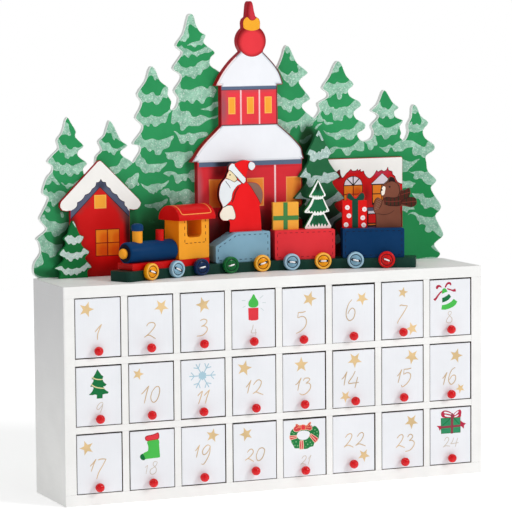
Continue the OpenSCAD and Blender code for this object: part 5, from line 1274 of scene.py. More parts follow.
# Pale pink line along the left edge of the dome and of the low roof: painted highlight.
for x1, z0, z1 in ((-8, 356.4, 385.5), (-24, 290.4, 319.2)):
    edge = sorted((q for q in inset(tower_line, 1.0) if q[0] < x1 and z0 < q[1] < z1), key=lambda q: q[1])
    layers.append((ribbon(edge, 0.9, 0.1), "rim_light", 0.34))
layers.append((ribbon([(15.6, 384.2), (21.2, 378.4), (26.4, 372.6), (30.6, 366.4), (33.1, 360.2), (34.0, 356.6)], 0.7, 0.1), "rim_dark", 0.34))
layers.append((ribbon([(29.4, 319.4), (34.6, 315), (41.6, 309), (47.5, 303.1), (51.9, 297.6), (53.0, 292.8), (54.2, 288.8)], 0.6, 0.1), "rim_dark", 0.34))
layers.append((ribbon([(28.4, 320), (28.5, 354)], 0.6, 0, 0), "brown_line", 0.3))
for x in (-6.4, 11.6):
    layers.append((box2(x - 0.95, x + 0.95, 320.6, 351.4), "pink_line", 0.18))
    layers.append((box2(x - 0.35, x + 0.35, 320.6, 351.4), "white_line", 0.19))
for x0, x1 in ((-18.5, -11.8), (-0.5, 6.2), (16.7, 23.6)):
    layers.append((box2(x0, x1, 330, 345), "yellow_rim", 0.17))
    layers.append((box2(x0 + 0.8, x1 - 0.8, 330.8, 344.2), "yellow_win", 0.19))
for x in (-11.8, 26.4):
    layers.append((box2(x - 1.0, x + 1.0, 190, 283.4), "pink_line", 0.18))
    layers.append((box2(x - 0.55, x + 0.55, 190, 283.0), "white_line", 0.19))
for x0, x1 in ((-38, -22), (-1, 15.3), (37.2, 52)):
    layers.append((box2(x0, x1, 246.8, 272.2), "low_rim", 0.17))
    layers.append((box2(x0 + 0.9, x1 - 0.9, 247.7, 271.3), "low_win", 0.19))
paint("tower_face", WALL, layers, on_front(28), "cabinet",
      ground=("tower_low", 0.10))

# ------------------------------------------------------------------ house

# The house's right edge faces below the roof get the dark edge colour: painted shade.
dress("house_board", "red_edge", 0.4,
      rules=((lambda p: p.center.x > -0.1135 and p.center.z < 0.244, "edge_shade"),))
house_line = outline_of("house_board", flat_inverse, front)


def scallops(cusps, sag):
    """Line through the cusps with a rounded drip between each pair."""
    out = []
    for a, b in zip(cusps, cusps[1:]):
        dx, dy = b[0] - a[0], b[1] - a[1]
        length = math.hypot(dx, dy)
        nx, ny = dy / length, -dx / length
        for k in range(6):
            t = k / 6
            d = sag * math.sin(math.pi * t)
            out.append((a[0] + dx * t + nx * d, a[1] + dy * t + ny * d))
    return out + [cusps[-1]]


snow_edge = scallops([(-164.4, 250.5), (-161.4, 256), (-153.9, 262.5), (-147.4, 267.5), (-143.4, 273), (-139.2, 276),
                      (-134.9, 273), (-130.9, 267.5), (-124.4, 261.5), (-117.4, 255), (-114.9, 250)], 1.2)
roof_snow = [(-179, 249)] + [(-178, 246)] + [(-171, 246), (-168.6, 248.4), (-166.2, 249.9)] + snow_edge + [(-114.2, 248.6), (-112.4, 246), (-100, 246), (-99, 258), (-137, 294), (-144, 294), (-179, 258)]
slate_band = [(-168.6, 240.8), (-140.0, 269.2), (-112.0, 241.0), (-110, 250), (-139.5, 280), (-170, 252)]
layers = [
    (slate_band, "slate_dark", 0.12),
    (ribbon([(-168.6, 240.7), (-140.0, 269.0), (-112.0, 240.8)], 0.7, 0, 0), "slate_line", 0.14),
    (roof_snow, "house_snow", 0.3),
    (ribbon(snow_edge, 0.6, 0.2, 0), "slate_line", 0.28),
    (box2(-145.5, -134.4, 250.1, 262), "yellow_rim", 0.18),
    (box2(-144.8, -135.1, 250.8, 261.3), "yellow_win", 0.2),
    (box2(-145.0, -122.2, 207.6, 231.8), "pane_line", 0.14),
    (box2(-144.3, -134.2, 219.9, 231.0), "pane_top", 0.2),
    (box2(-133.2, -122.9, 219.9, 231.0), "pane_top", 0.2),
    (box2(-144.3, -134.2, 208.4, 219.1), "pane_low", 0.2),
    (box2(-133.2, -122.9, 208.4, 219.1), "pane_low", 0.2),
]
paint("house_face", inset(house_line, 0.45), layers, on_front(31), "cabinet",
      ground=("house_red", 0.10))

# ------------------------------------------------------------------ shop

# The shop's right edge faces, beside the bear, get the dark edge colour: painted shade.
dress("shop_board", "red_edge", 0.4,
      rules=((lambda p: p.center.x > 0.155 and p.normal.x > 0.3, "edge_shade"),))
shop_line = outline_of("shop_board", flat_inverse, front)
snow_low = ([(60, 268)] + run([(84, 276), (88.6, 274.6), (90.3, 272), (90.9, 274), (92.0, 276.2)], 2) + run([(92.0, 276.2), (92.5, 272.3), (94.0, 269.0), (96.1, 269.8), (98.2, 272.5),
            (100.3, 274.1), (103.2, 276.6)], 2) + [(104.5, 274.9), (106.4, 274.8), (108.3, 275.0), (109.8, 276.4), (110.6, 274.9), (112.6, 276.3), (113.2, 273.9), (116.2, 274.6)]
            + run([(116.5, 272.4), (118.1, 270.0), (120.3, 268.1), (122.1, 267.6), (123.8, 268.4), (125.5, 269.8), (127.2, 271.7), (129.2, 274.8)], 2)
            + [(130.6, 273.2), (134.0, 274.8), (136.5, 273.5), (139.1, 274.6), (140.6, 277.6), (141.2, 274.3), (144.8, 273.2), (145.4, 270.3), (147.6, 268.6), (148.8, 265.6), (150.3, 263.2), (153.5, 261.6), (157, 261.3)])
snow_band = snow_low + [(158, 286.1), (60, 286.1)]
curve = [(105.35 + 9.15 * math.cos(math.radians(a)), 261.8 + 8.2 * math.sin(math.radians(a))) for a in range(176, 3, -8)]
arch = [(96.2, 262)] + curve + [(114.5, 262), (114.5, 244), (96.2, 244)]
fan = [(96.2, 261.8)] + curve + [(114.5, 261.8)]
layers = [
    (snow_band, "house_snow", 0.24),
    (ribbon(snow_low[1:], 0.6, 0, 0), "dark_red", 0.22),
    ([(88.2, 274.4), (90.9, 276.4), (92.2, 276.6), (92.4, 272), (93.4, 269.6), (90.8, 267.6)], "dark_red", 0.14),
    (arch, "shop_win", 0.16),
    (fan, "fan_white", 0.18),
    (ribbon([(96.0, 244)] + [(96.0, 261.8)] + curve + [(114.7, 261.8), (114.7, 244)], 0.55, 0, 0), "shop_line", 0.2),
    (box2(105.0, 105.9, 245, 262), "pane_line", 0.2),
    (box2(96.2, 114.5, 253.2, 254.0), "pane_line", 0.2),
]
for a in (48, 90, 132):
    layers.append((ribbon([(105.35, 261.8), (105.35 + 9.1 * math.cos(math.radians(a)), 261.8 + 8.2 * math.sin(math.radians(a)))], 1.0, 0, 0), "shop_line", 0.2))
layers.append((ribbon([(96, 261.8), (114.8, 261.8)], 0.8, 0, 0), "shop_line", 0.21))
layers.append((disc(105.35, 262.0, 0.9, 12), "shop_line", 0.22))
layers += [
    ([(123.6, 262.2), (134.8, 271.6), (146, 262.2)], "fan_white", 0.2),
    (ribbon([(123.2, 262.2), (134.8, 271.9), (146.4, 262.2)], 0.5, 0, 0), "shop_line", 0.21),
    (ribbon([(123.2, 262.0), (146, 262.0)], 0.55, 0, 0), "shop_line", 0.21),
    (box2(124.4, 141.2, 243, 261.7), "shop_line", 0.16),
    (box2(125.2, 140, 245, 261.2), "shop_win", 0.18),
    (box2(133.8, 134.5, 245, 261.2), "shop_line", 0.2),
    (box2(125.2, 140, 252.7, 253.6), "shop_line", 0.2),
    (box2(119.6, 146, 223, 241), "shop_line", 0.14),
    (box2(120.6, 146, 226.6, 234.4), "gift_red", 0.16),
    ([(119.6, 238.0), (148, 237.2), (149.5, 240.6), (119.2, 240.6)], "slate_dark", 0.2),
    (box2(120.4, 149.5, 235.2, 237.6), "fan_white", 0.2),
    (box2(120.4, 144, 224.6, 225.6), "shop_orange", 0.2),
]
paint("shop_face", inset(shop_line, 0.45), layers, on_front(31), "cabinet",
      ground=("shop_red", 0.10))

# ------------------------------------------------------------------ loose pines

dress("small_pine", "pine", 0.35)
SMALL_SNOW = [
    [(-165.5, 239.5), (-164, 239.5), (-162, 237), (-160.5, 233), (-162.5, 234.5), (-164, 237)],
    [(-173, 224), (-171.5, 226.5), (-169.5, 227.5), (-168, 226.5), (-166, 227), (-164.5, 225.5), (-162.5, 224.5), (-160.5, 226), (-158, 226.5), (-156, 227), (-154, 224), (-154.5, 222), (-157, 221), (-158.5, 219.5), (-161, 220), (-162.5, 218.5), (-165, 218.5), (-166.5, 220), (-168.5, 219), (-170.5, 221), (-172.5, 223)],
    [(-178, 211), (-176, 213.5), (-173.5, 215), (-172.5, 213.5), (-171, 212), (-169, 212.5), (-167, 211), (-164, 211), (-161.5, 212), (-159, 211.5), (-157, 212), (-155, 215), (-152, 213.5), (-149, 211.5), (-150.5, 209.8), (-153.5, 209.8), (-155.5, 208.5), (-157, 206.5), (-159, 207), (-160.5, 205), (-162.5, 206.2), (-164.5, 206), (-166, 204), (-168, 204), (-169.5, 206), (-171, 206), (-172.5, 208), (-174.5, 207.5), (-176.5, 209.5)],
    [(-182.5, 198), (-179, 199.5), (-175.5, 200.2), (-174, 198.5), (-172, 197), (-169.5, 198.5), (-168, 197.5), (-165, 197), (-162, 198), (-159, 197.5), (-156.5, 199), (-154, 200.5), (-152, 202.5), (-149, 200), (-147, 198.2), (-149, 197.5), (-151.5, 197.5), (-153, 196), (-154.5, 194.5), (-156.5, 195), (-158, 193.5), (-160, 193), (-161.5, 191.5), (-163.5, 193), (-165.5, 192), (-167.5, 191.5), (-169, 193), (-171, 192), (-173, 193), (-174.5, 195), (-176, 196.5), (-179, 197)],
]
layers = [(loop(moved(p, -2.6, 1.0), 3), "pine_snow", 0.22) for p in SMALL_SNOW]
paint("small_pine_face", inset(outline_of("small_pine", flat_inverse, front), 0.45), layers, on_front(27),
      "cabinet", ground=("pine", 0.08))

dress("big_pine", "big_pine", 0.35)

BIG_SNOW = [
    [(64.5, 308), (65.8, 312.5), (67.8, 315), (69.6, 312.5), (71, 308.5), (72.8, 304.6), (70.8, 304), (69.4, 307), (68, 309.2), (67, 307.5), (65.6, 308.6)],
    [(55, 294.5), (57.5, 296.5), (61, 295.8), (64.2, 294.5), (66, 293), (68, 294.5), (70, 293.5), (70.5, 296), (73.5, 296.5), (75.2, 299),
     (77.5, 297), (80, 293.5), (81.5, 290.5), (79.5, 288.6), (77.5, 288), (73, 288), (69, 286.5), (66.5, 287.5), (63.5, 285), (60, 286), (57.5, 288), (54.5, 290)],
    [(46, 269.5), (49, 272), (52.4, 276), (55.2, 280.5), (56, 276), (59.5, 274), (60, 270.5), (63, 272.5), (67, 272.5), (71, 272), (73, 275.5),
     (76.5, 274), (82, 275), (85.5, 274.5), (89, 268.5), (85, 268), (80.5, 267.3), (78.5, 266), (76, 265), (73, 266), (69, 265.5), (65, 266.5), (62, 263.5),
     (58.5, 262), (56, 265), (54, 267.6), (50, 268.2)],
    [(40, 250.5), (42.5, 252.8), (46, 255.2), (49.5, 258), (51, 254.5), (54, 252.8), (57, 252), (59, 251.5), (61, 249), (59.5, 246), (57, 245), (54, 246), (53, 248.6), (48, 249.5), (44, 249.4)],
    [(72, 249), (76, 250), (80, 252), (84, 254.4), (86.5, 257), (88.8, 256), (91, 253), (94, 249), (88, 248.4), (83, 248), (80.5, 245.6), (78, 244), (75, 245), (74, 247.6)],
    [(46, 234.5), (48.5, 235.6), (50.4, 233.6), (54, 231), (56, 228), (54.5, 225), (51, 225), (48.5, 228), (46.5, 231)],
    [(74.5, 230), (77.5, 231.6), (80, 233), (83.4, 234.6), (86, 236), (89, 238.2), (93, 239), (92.5, 235.4), (88, 233), (83, 230), (81, 226), (78, 225), (76, 227)],
    [(84.5, 217), (88, 218.4), (91, 217), (90.5, 212), (88.4, 208), (85.2, 208), (83.6, 212)],
]
layers = [(loop(p, 3), "big_snow", 0.22) for p in BIG_SNOW]
paint("big_pine_face", inset(outline_of("big_pine", flat_inverse, front), 0.35), layers, on_front(24),
      "cabinet", ground=("big_pine", 0.08))

# ------------------------------------------------------------------ train

LOCO, TEND, RED, BLUE = (-17.9, -17.9), (-3.4, -3.4), (7.9, 7.9), (20.1, 17.0)


def facing(turn):
    b = math.radians(turn)
    return Vector((-math.sin(b), -math.cos(b), 0))


dress("track_base", "strip", 0.5)
dress("loco_chassis", "chassis", 0.5)
AHEAD = Vector((-math.cos(math.radians(LOCO[1])), math.sin(math.radians(LOCO[1])), 0))
# The boiler's front face takes the darker navy: painted shade.
dress("boiler", "navy", 0.3, 40, rules=((lambda p: p.normal.dot(AHEAD) > 0.95, "navy_front_shade"),))
dress("headlamp", "yellow", 0, 40)
dress("chimney", "chimney_yellow", 0.25, 40)
dress("chimney_cap", "navy", 0, 40)
dress("steam_peg", "chassis", 0.4, 40)
# The cab's left side takes the darker copy: painted shade.
dress("cab", "yellow", 0.45, rules=((lambda p: p.normal.x < -0.8, "cab_side"),))
dress("cab_roof", "roof_red", 0.4)
dress("tender", "tender", 0.5)
dress("red_wagon", "wagon", 0.5)
dress("blue_wagon", "navy", 0.5)

cab_lines = []
for s in (16.2, 39.9):
    cab_lines += dashes((s, 240.5), (s, 219), 2.6, 2.2, 0.6, 0.8)
cab_lines += dashes((16.2, 219), (39.9, 219), 2.6, 2.2, 0.6, 0.8)
paint("cab_stitches", box2(10.5, 43, 206.5, 239), [(p, "stitch_y", 0.12) for p in cab_lines],
      on_track(*LOCO, 297.5), "cabinet")


def frame_stitches(pts, dash, gap, width):
    out = []
    for a, b in zip(pts, pts[1:] + pts[:1]):
        out += dashes(a, b, dash, gap, width, 1.1)
    return out


p = [(-22.9, 201.5), (26.4, 201.5), (26.4, 223.2), (-4.4, 223.2), (-22.9, 212.6)]
paint("tender_stitches", box2(-30, 33, 199.6, 225), [(q, "stitch_dark", 0.12) for q in frame_stitches(p, 2.3, 2.2, 0.5)],
      on_track(*TEND, 299.5), "cabinet")
p = [(-23.7, 201.5), (27.9, 201.5), (27.9, 223.2), (-23.7, 223.2)]
paint("red_wagon_stitches", box2(-30, 33, 199.6, 225), [(q, "stitch_red", 0.12) for q in frame_stitches(p, 2.4, 2.6, 0.5)],
      on_track(*RED, 299.5), "cabinet")
p = [(-25.2, 201.5), (26.2, 201.5), (26.2, 223.2), (-25.2, 223.2)]
paint("blue_wagon_stitches", box2(-30, 33, 199.6, 225), [(q, "stitch_navy", 0.12) for q in frame_stitches(p, 2.4, 2.6, 0.5)],
      on_track(*BLUE, 298), "cabinet")


def roof_point(s, a, h):
    """Point on the arched cab roof: s along the train, a round the arch."""
    b = math.radians(a)
    y = 307.5 + (14.6 + h) * math.cos(b)
    z = 239.9 + (12.6 + h) * math.sin(b)
    t = math.radians(LOCO[0])
    ox, oy = TX + MID * math.sin(t), TY + MID * math.cos(t)
    k = y - MID
    return Vector((ox + math.cos(t) * s + math.sin(t) * k, oy - math.sin(t) * s + math.cos(t) * k, z)) * MM


verts, faces = [], []


def roof_strip(path, w):
    """path: (s, angle) points; w: half width in mm."""
    start = len(verts)
    m = len(path)
    for i, (s, a) in enumerate(path):
        s0, a0 = path[max(i - 1, 0)]
        s1, a1 = path[min(i + 1, m - 1)]
        ds, da = s1 - s0, (a1 - a0) * 0.235
        length = math.hypot(ds, da) or 1
        ns, na = -da / length * w, ds / length * w
        for side in (1, -1):
            for h in (0.12, -0.15):
                verts.append(roof_point(s + side * ns, a + side * na / 0.235, h))
    for i in range(m - 1):
        k = start + 4 * i
        faces.append([k, k + 4, k + 6, k + 2])
        faces.append([k, k + 1, k + 5, k + 4])
        faces.append([k + 2, k + 6, k + 7, k + 3])


arc = [(10.2, a) for a in range(30, 150, 6)] + [(10.4, 152), (11.3, 155.4), (12.6, 156.6)]
arc += [(s, 157) for s in range(15, 41, 5)] + [(41.9, 156.6), (43.2, 155.4), (44.1, 152)]
arc += [(44.3, a) for a in range(144, 29, -6)]
roof_strip(arc, 0.4)
make("cab_roof_line", verts, faces, [M["stitch_yellow"]], [0] * len(faces), "cabinet", smooth=True)

# Buttons: one colour each, by their place round the arc
BUTTON_A = [-23, -17.2, -12, -6.1, 0, 5.5, 11.2, 17, 22.5]
BUTTON_C = ["btn_yellow", "light_blue", "btn_navy", "btn_green", "btn_yellow", "light_blue", "btn_yellow", "light_blue", "btn_red"]


def button_test(k):
    def test(p):
        c = p.center
        a = math.degrees(math.atan2(c.x * 1000 - TX, c.y * 1000 - TY))
        return min(range(9), key=lambda i: abs(BUTTON_A[i] - a)) == k
    return test


def rim_test(k):
    def test(p):
        c = p.center * 1000
        return math.hypot(c.x - TX, c.y - TY) < 295.85 - 4.7 and button_test(k)(p)
    return test


# The raised rims of the yellow and light blue buttons take the lighter copies: painted highlight.
dress("button_wheels", "btn_yellow", 0, 30, rules=[(button_test(k), BUTTON_C[k]) for k in range(9)]
      + [(rim_test(k), BUTTON_C[k] + "_rim") for k in range(9) if BUTTON_C[k] + "_rim" in M])

LEAN = [-18, -25, 8, 12, 15, -6, 0, -13, -20]
for k, a in enumerate(BUTTON_A):
    t = math.radians(a)

    def at_button(u, v, h, t=t):
        r = 295.85 - 4.2 - h
        return Vector((TX + r * math.sin(t) + u * math.cos(t), TY + r * math.cos(t) - u * math.sin(t), 197.7 + v)) * MM
    # A dark ring in each button's groove and, on the light buttons, dark spots at the thread ends: painted shade.
    line = "groove" if BUTTON_C[k] in ("btn_yellow", "light_blue") else "groove_dark"
    rings = [(disc(0, 0, 5.3, 40), line, 0.05), (disc(0, 0, 4.55, 40), None, 0.05)]
    paint("button_ring_%d" % (k + 1), disc(0, 0, 5.3, 40), rings, at_button, "cabinet")
    holes = []
    for side in (-1, 1):
        q = math.radians(LEAN[k])
        holes.append((disc(side * 3.2 * math.cos(q), side * 3.2 * math.sin(q), 1.25, 18), "groove_dark", 0.37))
    if BUTTON_C[k] + "_rim" in M:
        paint("button_holes_%d" % (k + 1), disc(0, 0, 4.5, 40), holes, at_button, "cabinet")

bm = bmesh.new()
for k, a in enumerate(BUTTON_A):
    lean = math.radians(LEAN[k])
    t = math.radians(a)
    for strand in (-1, 1):
        ring_prev = None
        steps = 18
        for i in range(steps + 1):
            q = i / steps
            s = -2.95 + 5.9 * q
            lift = 4.6 + 0.75 * math.sin(math.pi * q) ** 0.5 if 0 < q < 1 else 2.6
            tw = q * math.pi + (0 if strand > 0 else math.pi)
            off = 0.26
            cy = off * math.cos(tw)
            cz = off * math.sin(tw)
            su = s * math.cos(lean) - cz * math.sin(lean)
            sv = s * math.sin(lean) + cz * math.cos(lean)
            rr = 295.85 - lift - cy * 0.5
            ring = []
            for j in range(8):
                b = 2 * math.pi * j / 8
                dv, dr = 0.5 * math.cos(b), 0.5 * math.sin(b)
                r = rr + dr
                v = sv + dv
                ring.append(bm.verts.new(Vector((TX + r * math.sin(t) + su * math.cos(t),
                                                 TY + r * math.cos(t) - su * math.sin(t), 197.7 + v)) * MM))
            if ring_prev:
                for j in range(8):
                    f = bm.faces.new([ring_prev[j], ring_prev[(j + 1) % 8], ring[(j + 1) % 8], ring[j]])
                    f.smooth = True
            else:
                bm.faces.new(ring[::-1])
            ring_prev = ring
        bm.faces.new(ring_prev)
from_bmesh("button_stitches", bm, [M["thread"]], "cabinet", ("button_threads",))

# ------------------------------------------------------------------ figures



def rim_of(turn):
    """Faces round the cut edge of a figure that stands on the train."""
    f = facing(turn)
    return lambda p: abs(p.normal.dot(f)) < 0.6


dress("santa", "santa_red", 0.3, rules=((rim_of(TEND[1]), "edge_dark"),))
dress("yellow_gift", "gift_yellow", 0.4)
dress("wagon_tree", "pine", 0.35)
dress("dotted_gift", "gift_red", 0.4)
dress("bear", "bear", 0.3, rules=((rim_of(BLUE[1]), "bear_dark"),))

beard = [(-10.5, 273.6), (-6.8, 272.3), (-3.1, 270.5), (-0.6, 272.1), (3.9, 268.6), (0.2, 266.9), (-2.5, 264.2), (-5.0, 260.4),
         (-6.2, 254.6), (-9.3, 251.4), (-13.8, 248.2), (-17.6, 249.6), (-20.2, 256), (-20.2, 264), (-17.5, 270), (-13.5, 273.8)]
face = [(-7.6, 281.4), (-2.4, 276.0), (-0.6, 272.6), (-1.9, 271.0), (-5.0, 270.6), (-8.0, 271.6), (-11.2, 272.6), (-12.6, 274.6), (-11.6, 279.5), (-9.6, 282)]
brim = [(-9.6, 285.6), (-7.6, 287.6), (-4.2, 288.4), (-2.6, 287.0), (-2.5, 285.0), (1.4, 280.4), (6.2, 275.3), (8.9, 272.3), (6.4, 268.5), (4.1, 269.2), (0.0, 273.5),
        (-4.3, 277.7), (-7.5, 280.5), (-10.2, 280.8), (-10.6, 284)]
mitt = [(-13.8, 248.4), (-10.7, 249.8), (-5.8, 249.5), (-4.0, 246.5), (-2.6, 242.4), (-2.3, 238.6), (-4.1, 236.5), (-8.4, 236.8), (-12.1, 234.6), (-18.4, 236.7), (-19.6, 242.6), (-17.4, 247.9)]
sack_brown = [(9.9, 268.8), (13, 270.6), (18.5, 270.2), (23, 267), (26.4, 261.6), (26.6, 256), (25.3, 249.8), (23.4, 247.4), (21.0, 253.3), (17.3, 259.0), (13.0, 265.6)]
fold = ribbon([(-5.6, 252.2), (-4.0, 256.2), (-2.2, 261.3), (1.2, 266)], 1.5, 0.6)
layers = [
    (loop(sack_brown, 3), "sack", 0.12),
    (ribbon([(10.2, 268.6), (13.2, 265.2), (17.4, 258.8), (21.0, 253.0), (23, 248.4)], 0.5, 0.2), "crease", 0.13),
    (loop(face, 3), "skin", 0.14),
    (loop(beard, 3), "contour", 0.16),
    (inset(loop(beard, 3), 0.45), "santa_white", 0.3),
    (loop(brim, 3), "contour", 0.16),
    (inset(loop(brim, 3), 0.45), "santa_white", 0.32),
    (disc(14.6, 284.2, 4.3, 28), "contour", 0.16),
    (disc(14.7, 284.2, 3.95, 28), "santa_white", 0.3),
    (loop(mitt, 3), "contour", 0.16),
    (inset(loop(mitt, 3), 0.45), "mitt", 0.26),
    (fold, "crease", 0.14),
    (ribbon([(-12.0, 271.4), (-10.6, 269.4), (-8.8, 267.4), (-7.4, 264.9)], 0.6, 0.3), "santa_grey", 0.34),
    (ribbon([(-2.6, 276.4), (-0.5, 272.8), (-1.7, 270.9)], 0.5, 0.1), "contour", 0.16),
    (disc(-7.5, 276.8, 0.7, 14), "black", 0.2),
    (ribbon([(-11.2, 274.2), (-10.2, 273.4), (-9.2, 273.6)], 0.4, 0.4), "crease", 0.2),
]
paint("santa_face", inset(outline_of("santa", track_inverse(*TEND), facing(TEND[1])), 0.25), layers,
      on_track(*TEND, 306), "cabinet")

G = lambda p: moved(p, 2.8, -1.8)
layers = [
    (box2(-16.2, -12.2, 220, 260), "gift_green", 0.16),
    (box2(-40, 10, 234.2, 238.2), "gift_green", 0.16),
]
paint("yellow_gift_face", inset(outline_of("yellow_gift", track_inverse(*RED), facing(RED[1])), 0.2), layers,
      on_track(*RED, 306), "cabinet")


def grass(a, b, sag, low, high, rnd, n=17):
    """Snowy fringe with upright brush tips along the foot of a tier, from a to b."""
    lo, hi = [], []
    for i in range(n + 1):
        q = i / n
        x, v = a[0] + (b[0] - a[0]) * q, a[1] + (b[1] - a[1]) * q - sag * math.sin(math.pi * q)
        lo.append((x, v - low - (0.5 if i % 2 else 0.0)))
        hi.append((x, v + (high * rnd.uniform(0.7, 1.15) if i % 2 else 0.35)))
    return lo + hi[::-1]


rnd = random.Random(3)
layers = [(loop([(12.4, 257), (16.5, 267), (20.8, 257)], 2), "tree_green", 0.12),
          (loop([(8, 243.5), (13.2, 252.6), (20.6, 252.6), (24, 243.5), (20, 242), (12, 242)], 2), "tree_green", 0.12),
          (loop([(8, 229.5), (12.4, 238.6), (21.6, 238.6), (25.6, 229.5), (20, 228.6), (12, 228.6)], 2), "tree_green", 0.12)]
for apex, left, right, sag, high in (((16.5, 270.3), (7.6, 255.2), (24.1, 255.1), 1.6, 2.4), (None, (3.6, 241.4), (27.0, 241.3), 2.1, 2.4),
                                     (None, (3.9, 226.9), (28.6, 226.9), 0.0, 3.6)):
    layers.append((grass(left, right, sag, 1.3, high, rnd), "tree_white", 0.24))
strokes = [((16.0, 269.6), (12.2, 261.4), (8.1, 255.4)), ((17.2, 269.0), (20.6, 261.4), (23.9, 255.4)),
           ((12.1, 253.2), (8.7, 246.2), (4.2, 241.2)), ((21.6, 252.8), (24.1, 246.8), (26.9, 241.2)),
           ((11.4, 239.0), (8.0, 232.0), (4.0, 226.8)), ((22.2, 239.0), (25.0, 233.4), (28.5, 226.8))]
for q in strokes:
    layers.append((ribbon(list(q), 2.1, 0.25), "tree_white", 0.24))
paint("wagon_tree_face", inset(outline_of("wagon_tree", track_inverse(*RED), facing(RED[1])), 0.25), layers,
      on_track(*RED, 306), "cabinet", ground=("pine", 0.08))

layers = [
    (box2(-17.9, -12.4, 220, 252.2), "gift_dark", 0.16),
    (loop([(-15.2, 251.0), (-16.6, 254.2), (-18.6, 257.8), (-20.6, 258.6), (-22.6, 256.4), (-22.4, 253.2), (-20.4, 251.4), (-17.8, 250.6)], 2), "gift_dark", 0.16),
    (loop([(-14.4, 251.0), (-12.6, 254.2), (-10.6, 257.4), (-8.2, 258.6), (-6.2, 257.4), (-5.2, 254.4), (-6.2, 251.4), (-9.6, 250.6)], 2), "gift_dark", 0.16),
]
for u, v in ((-22.2, 244.2), (-20.8, 236.7), (-23.4, 228.6), (-6.6, 242.4), (-8.2, 234.7), (-7.4, 228.1)):
    layers.append((disc(u, v, 2.15, 20), "dot_white", 0.16))
    layers.append((disc(u, v, 0.8, 12), "dot_pink", 0.17))
paint("dotted_gift_face", inset(outline_of("dotted_gift", track_inverse(*BLUE), facing(BLUE[1])), 0.3), layers,
      on_track(*BLUE, 306), "cabinet")

head = [(12.8, 264.8), (14.5, 266.4), (16.8, 267.3), (19.4, 267.3), (22.0, 266.3), (24.3, 264.0), (25.3, 260.7), (25.5, 257.5), (24.2, 254.2)]
layers = [
    (loop([(15.5, 266.6), (16.1, 269.3), (17.1, 270.9), (18.7, 272), (21.3, 271.5), (23.3, 268), (22.8, 266.2), (20.7, 267.2), (18.1, 267.4)], 2), "bear_dark", 0.14),
    (ribbon(head, 0.4, 0.2), "bear_dark", 0.13),
    (loop([(8.4, 262), (10.6, 262.9), (12.2, 262.5), (12.6, 260.9), (12.1, 258.3), (11.7, 256.1), (10.5, 255.0), (8.6, 254.6), (7.6, 258.4)], 2), "muzzle", 0.16),
    (disc(16.5, 262.3, 0.75, 14), "black", 0.2),
    (disc(9.2, 259.6, 0.8, 12), "bear_dark", 0.2),
    (loop([(11.2, 251.9), (14.1, 252.6), (18.0, 252.1), (21.9, 252.2), (25.2, 253.6), (26.9, 252.9), (27.4, 249.0), (26.8, 245.6),
           (23.2, 245.2), (19.3, 245.3), (15.4, 245.6), (12.1, 246.7), (11.2, 249.3)], 2), "scarf", 0.22),
    (loop([(25.5, 253.6), (26.5, 258.6), (29.8, 259.6), (35.2, 261.6), (36.2, 259.2), (36.6, 255.3), (36.6, 253.6), (33.7, 251.6), (29.8, 250.5), (27.1, 249.5)], 2), "scarf", 0.24),
    (loop([(26.6, 248.6), (31.1, 252.1), (36.3, 252.9), (41.4, 253.4), (43, 251.4), (42.2, 245.4), (38.9, 243), (35.0, 244), (31.1, 245.6), (27.4, 246.6)], 2), "scarf", 0.26),
    (ribbon([(11.2, 252.1), (14.1, 252.9), (18.0, 252.4), (21.9, 252.5), (25.2, 253.9)], 0.45, 0.2), "bear_dark", 0.27),
    (ribbon([(11.6, 246.9), (15.4, 245.4), (19.3, 245.1), (23.2, 245.0), (26.8, 245.4)], 0.45, 0.2), "bear_dark", 0.27),
    (ribbon([(26.6, 248.4), (29.2, 250.7), (31.1, 251.9), (36.3, 252.9)], 0.5, 0.2), "bear_dark", 0.28),
]
for p in ([(13.9, 252.4), (13.7, 246.2)], [(17.4, 252.2), (17.2, 245.6)], [(20.9, 252.2), (20.8, 245.4)], [(24.4, 253.0), (24.2, 245.6)],
          [(30.2, 259.2), (29.8, 251.2)], [(34.0, 260.2), (33.4, 252.0)], [(31.6, 251.8), (31.8, 245.8)], [(36.0, 252.6), (36.2, 244.2)], [(39.6, 252.8), (39.8, 244.6)]):
    layers.append((ribbon(p, 1.0, 0.1, 0), "scarf_line", 0.3))
for p in ([(11.6, 249.6), (18, 248.8), (26.6, 249.6)], [(27, 255.0), (31, 256.2), (36.2, 257.6)], [(28, 247.8), (34, 248.4), (42, 249.0)]):
    layers.append((ribbon(p, 0.6, 0.1), "scarf_pale", 0.31))
for p in ([(4.6, 251.8), (7.4, 253.0)], [(4.4, 250.0), (8.6, 252.0)], [(4.2, 248.2), (8.8, 250.2)], [(3.8, 246.4), (8.6, 248.4)], [(3.2, 244.8), (8.0, 246.6)],
          [(2.6, 243.2), (7.2, 245.0)], [(2.4, 241.6), (6.4, 243.2)]):
    layers.append((ribbon(p, 0.35, 0.4, 0), "fur_line", 0.14))
layers.append((ribbon([(9.2, 252.4), (9.6, 249.3), (8.4, 245.4), (6.8, 242.7)], 0.4, 0.3), "bear_dark", 0.14))
layers.append((ribbon([(4.4, 238.4), (6.5, 238.0), (10.1, 237.3), (14.1, 237.6), (18.0, 239.1), (20.6, 241.3)], 0.35, 0.5), "bear_dark", 0.14))
paint("bear_face", inset(outline_of("bear", track_inverse(*BLUE), facing(BLUE[1])), 0.25), layers,
      on_track(*BLUE, 306), "cabinet")

# ------------------------------------------------------------------ stage, light, camera

me = bpy.data.meshes.new("floor")
me.from_pydata([(-3, -3, 0), (3, -3, 0), (3, 1.6, 0), (-3, 1.6, 0)], [], [(0, 1, 2, 3)])
floor = bpy.data.objects.new("floor", me)
t = Tree("floor_paper_glowing")
g = t.noise(3.0, 2, 0.5)
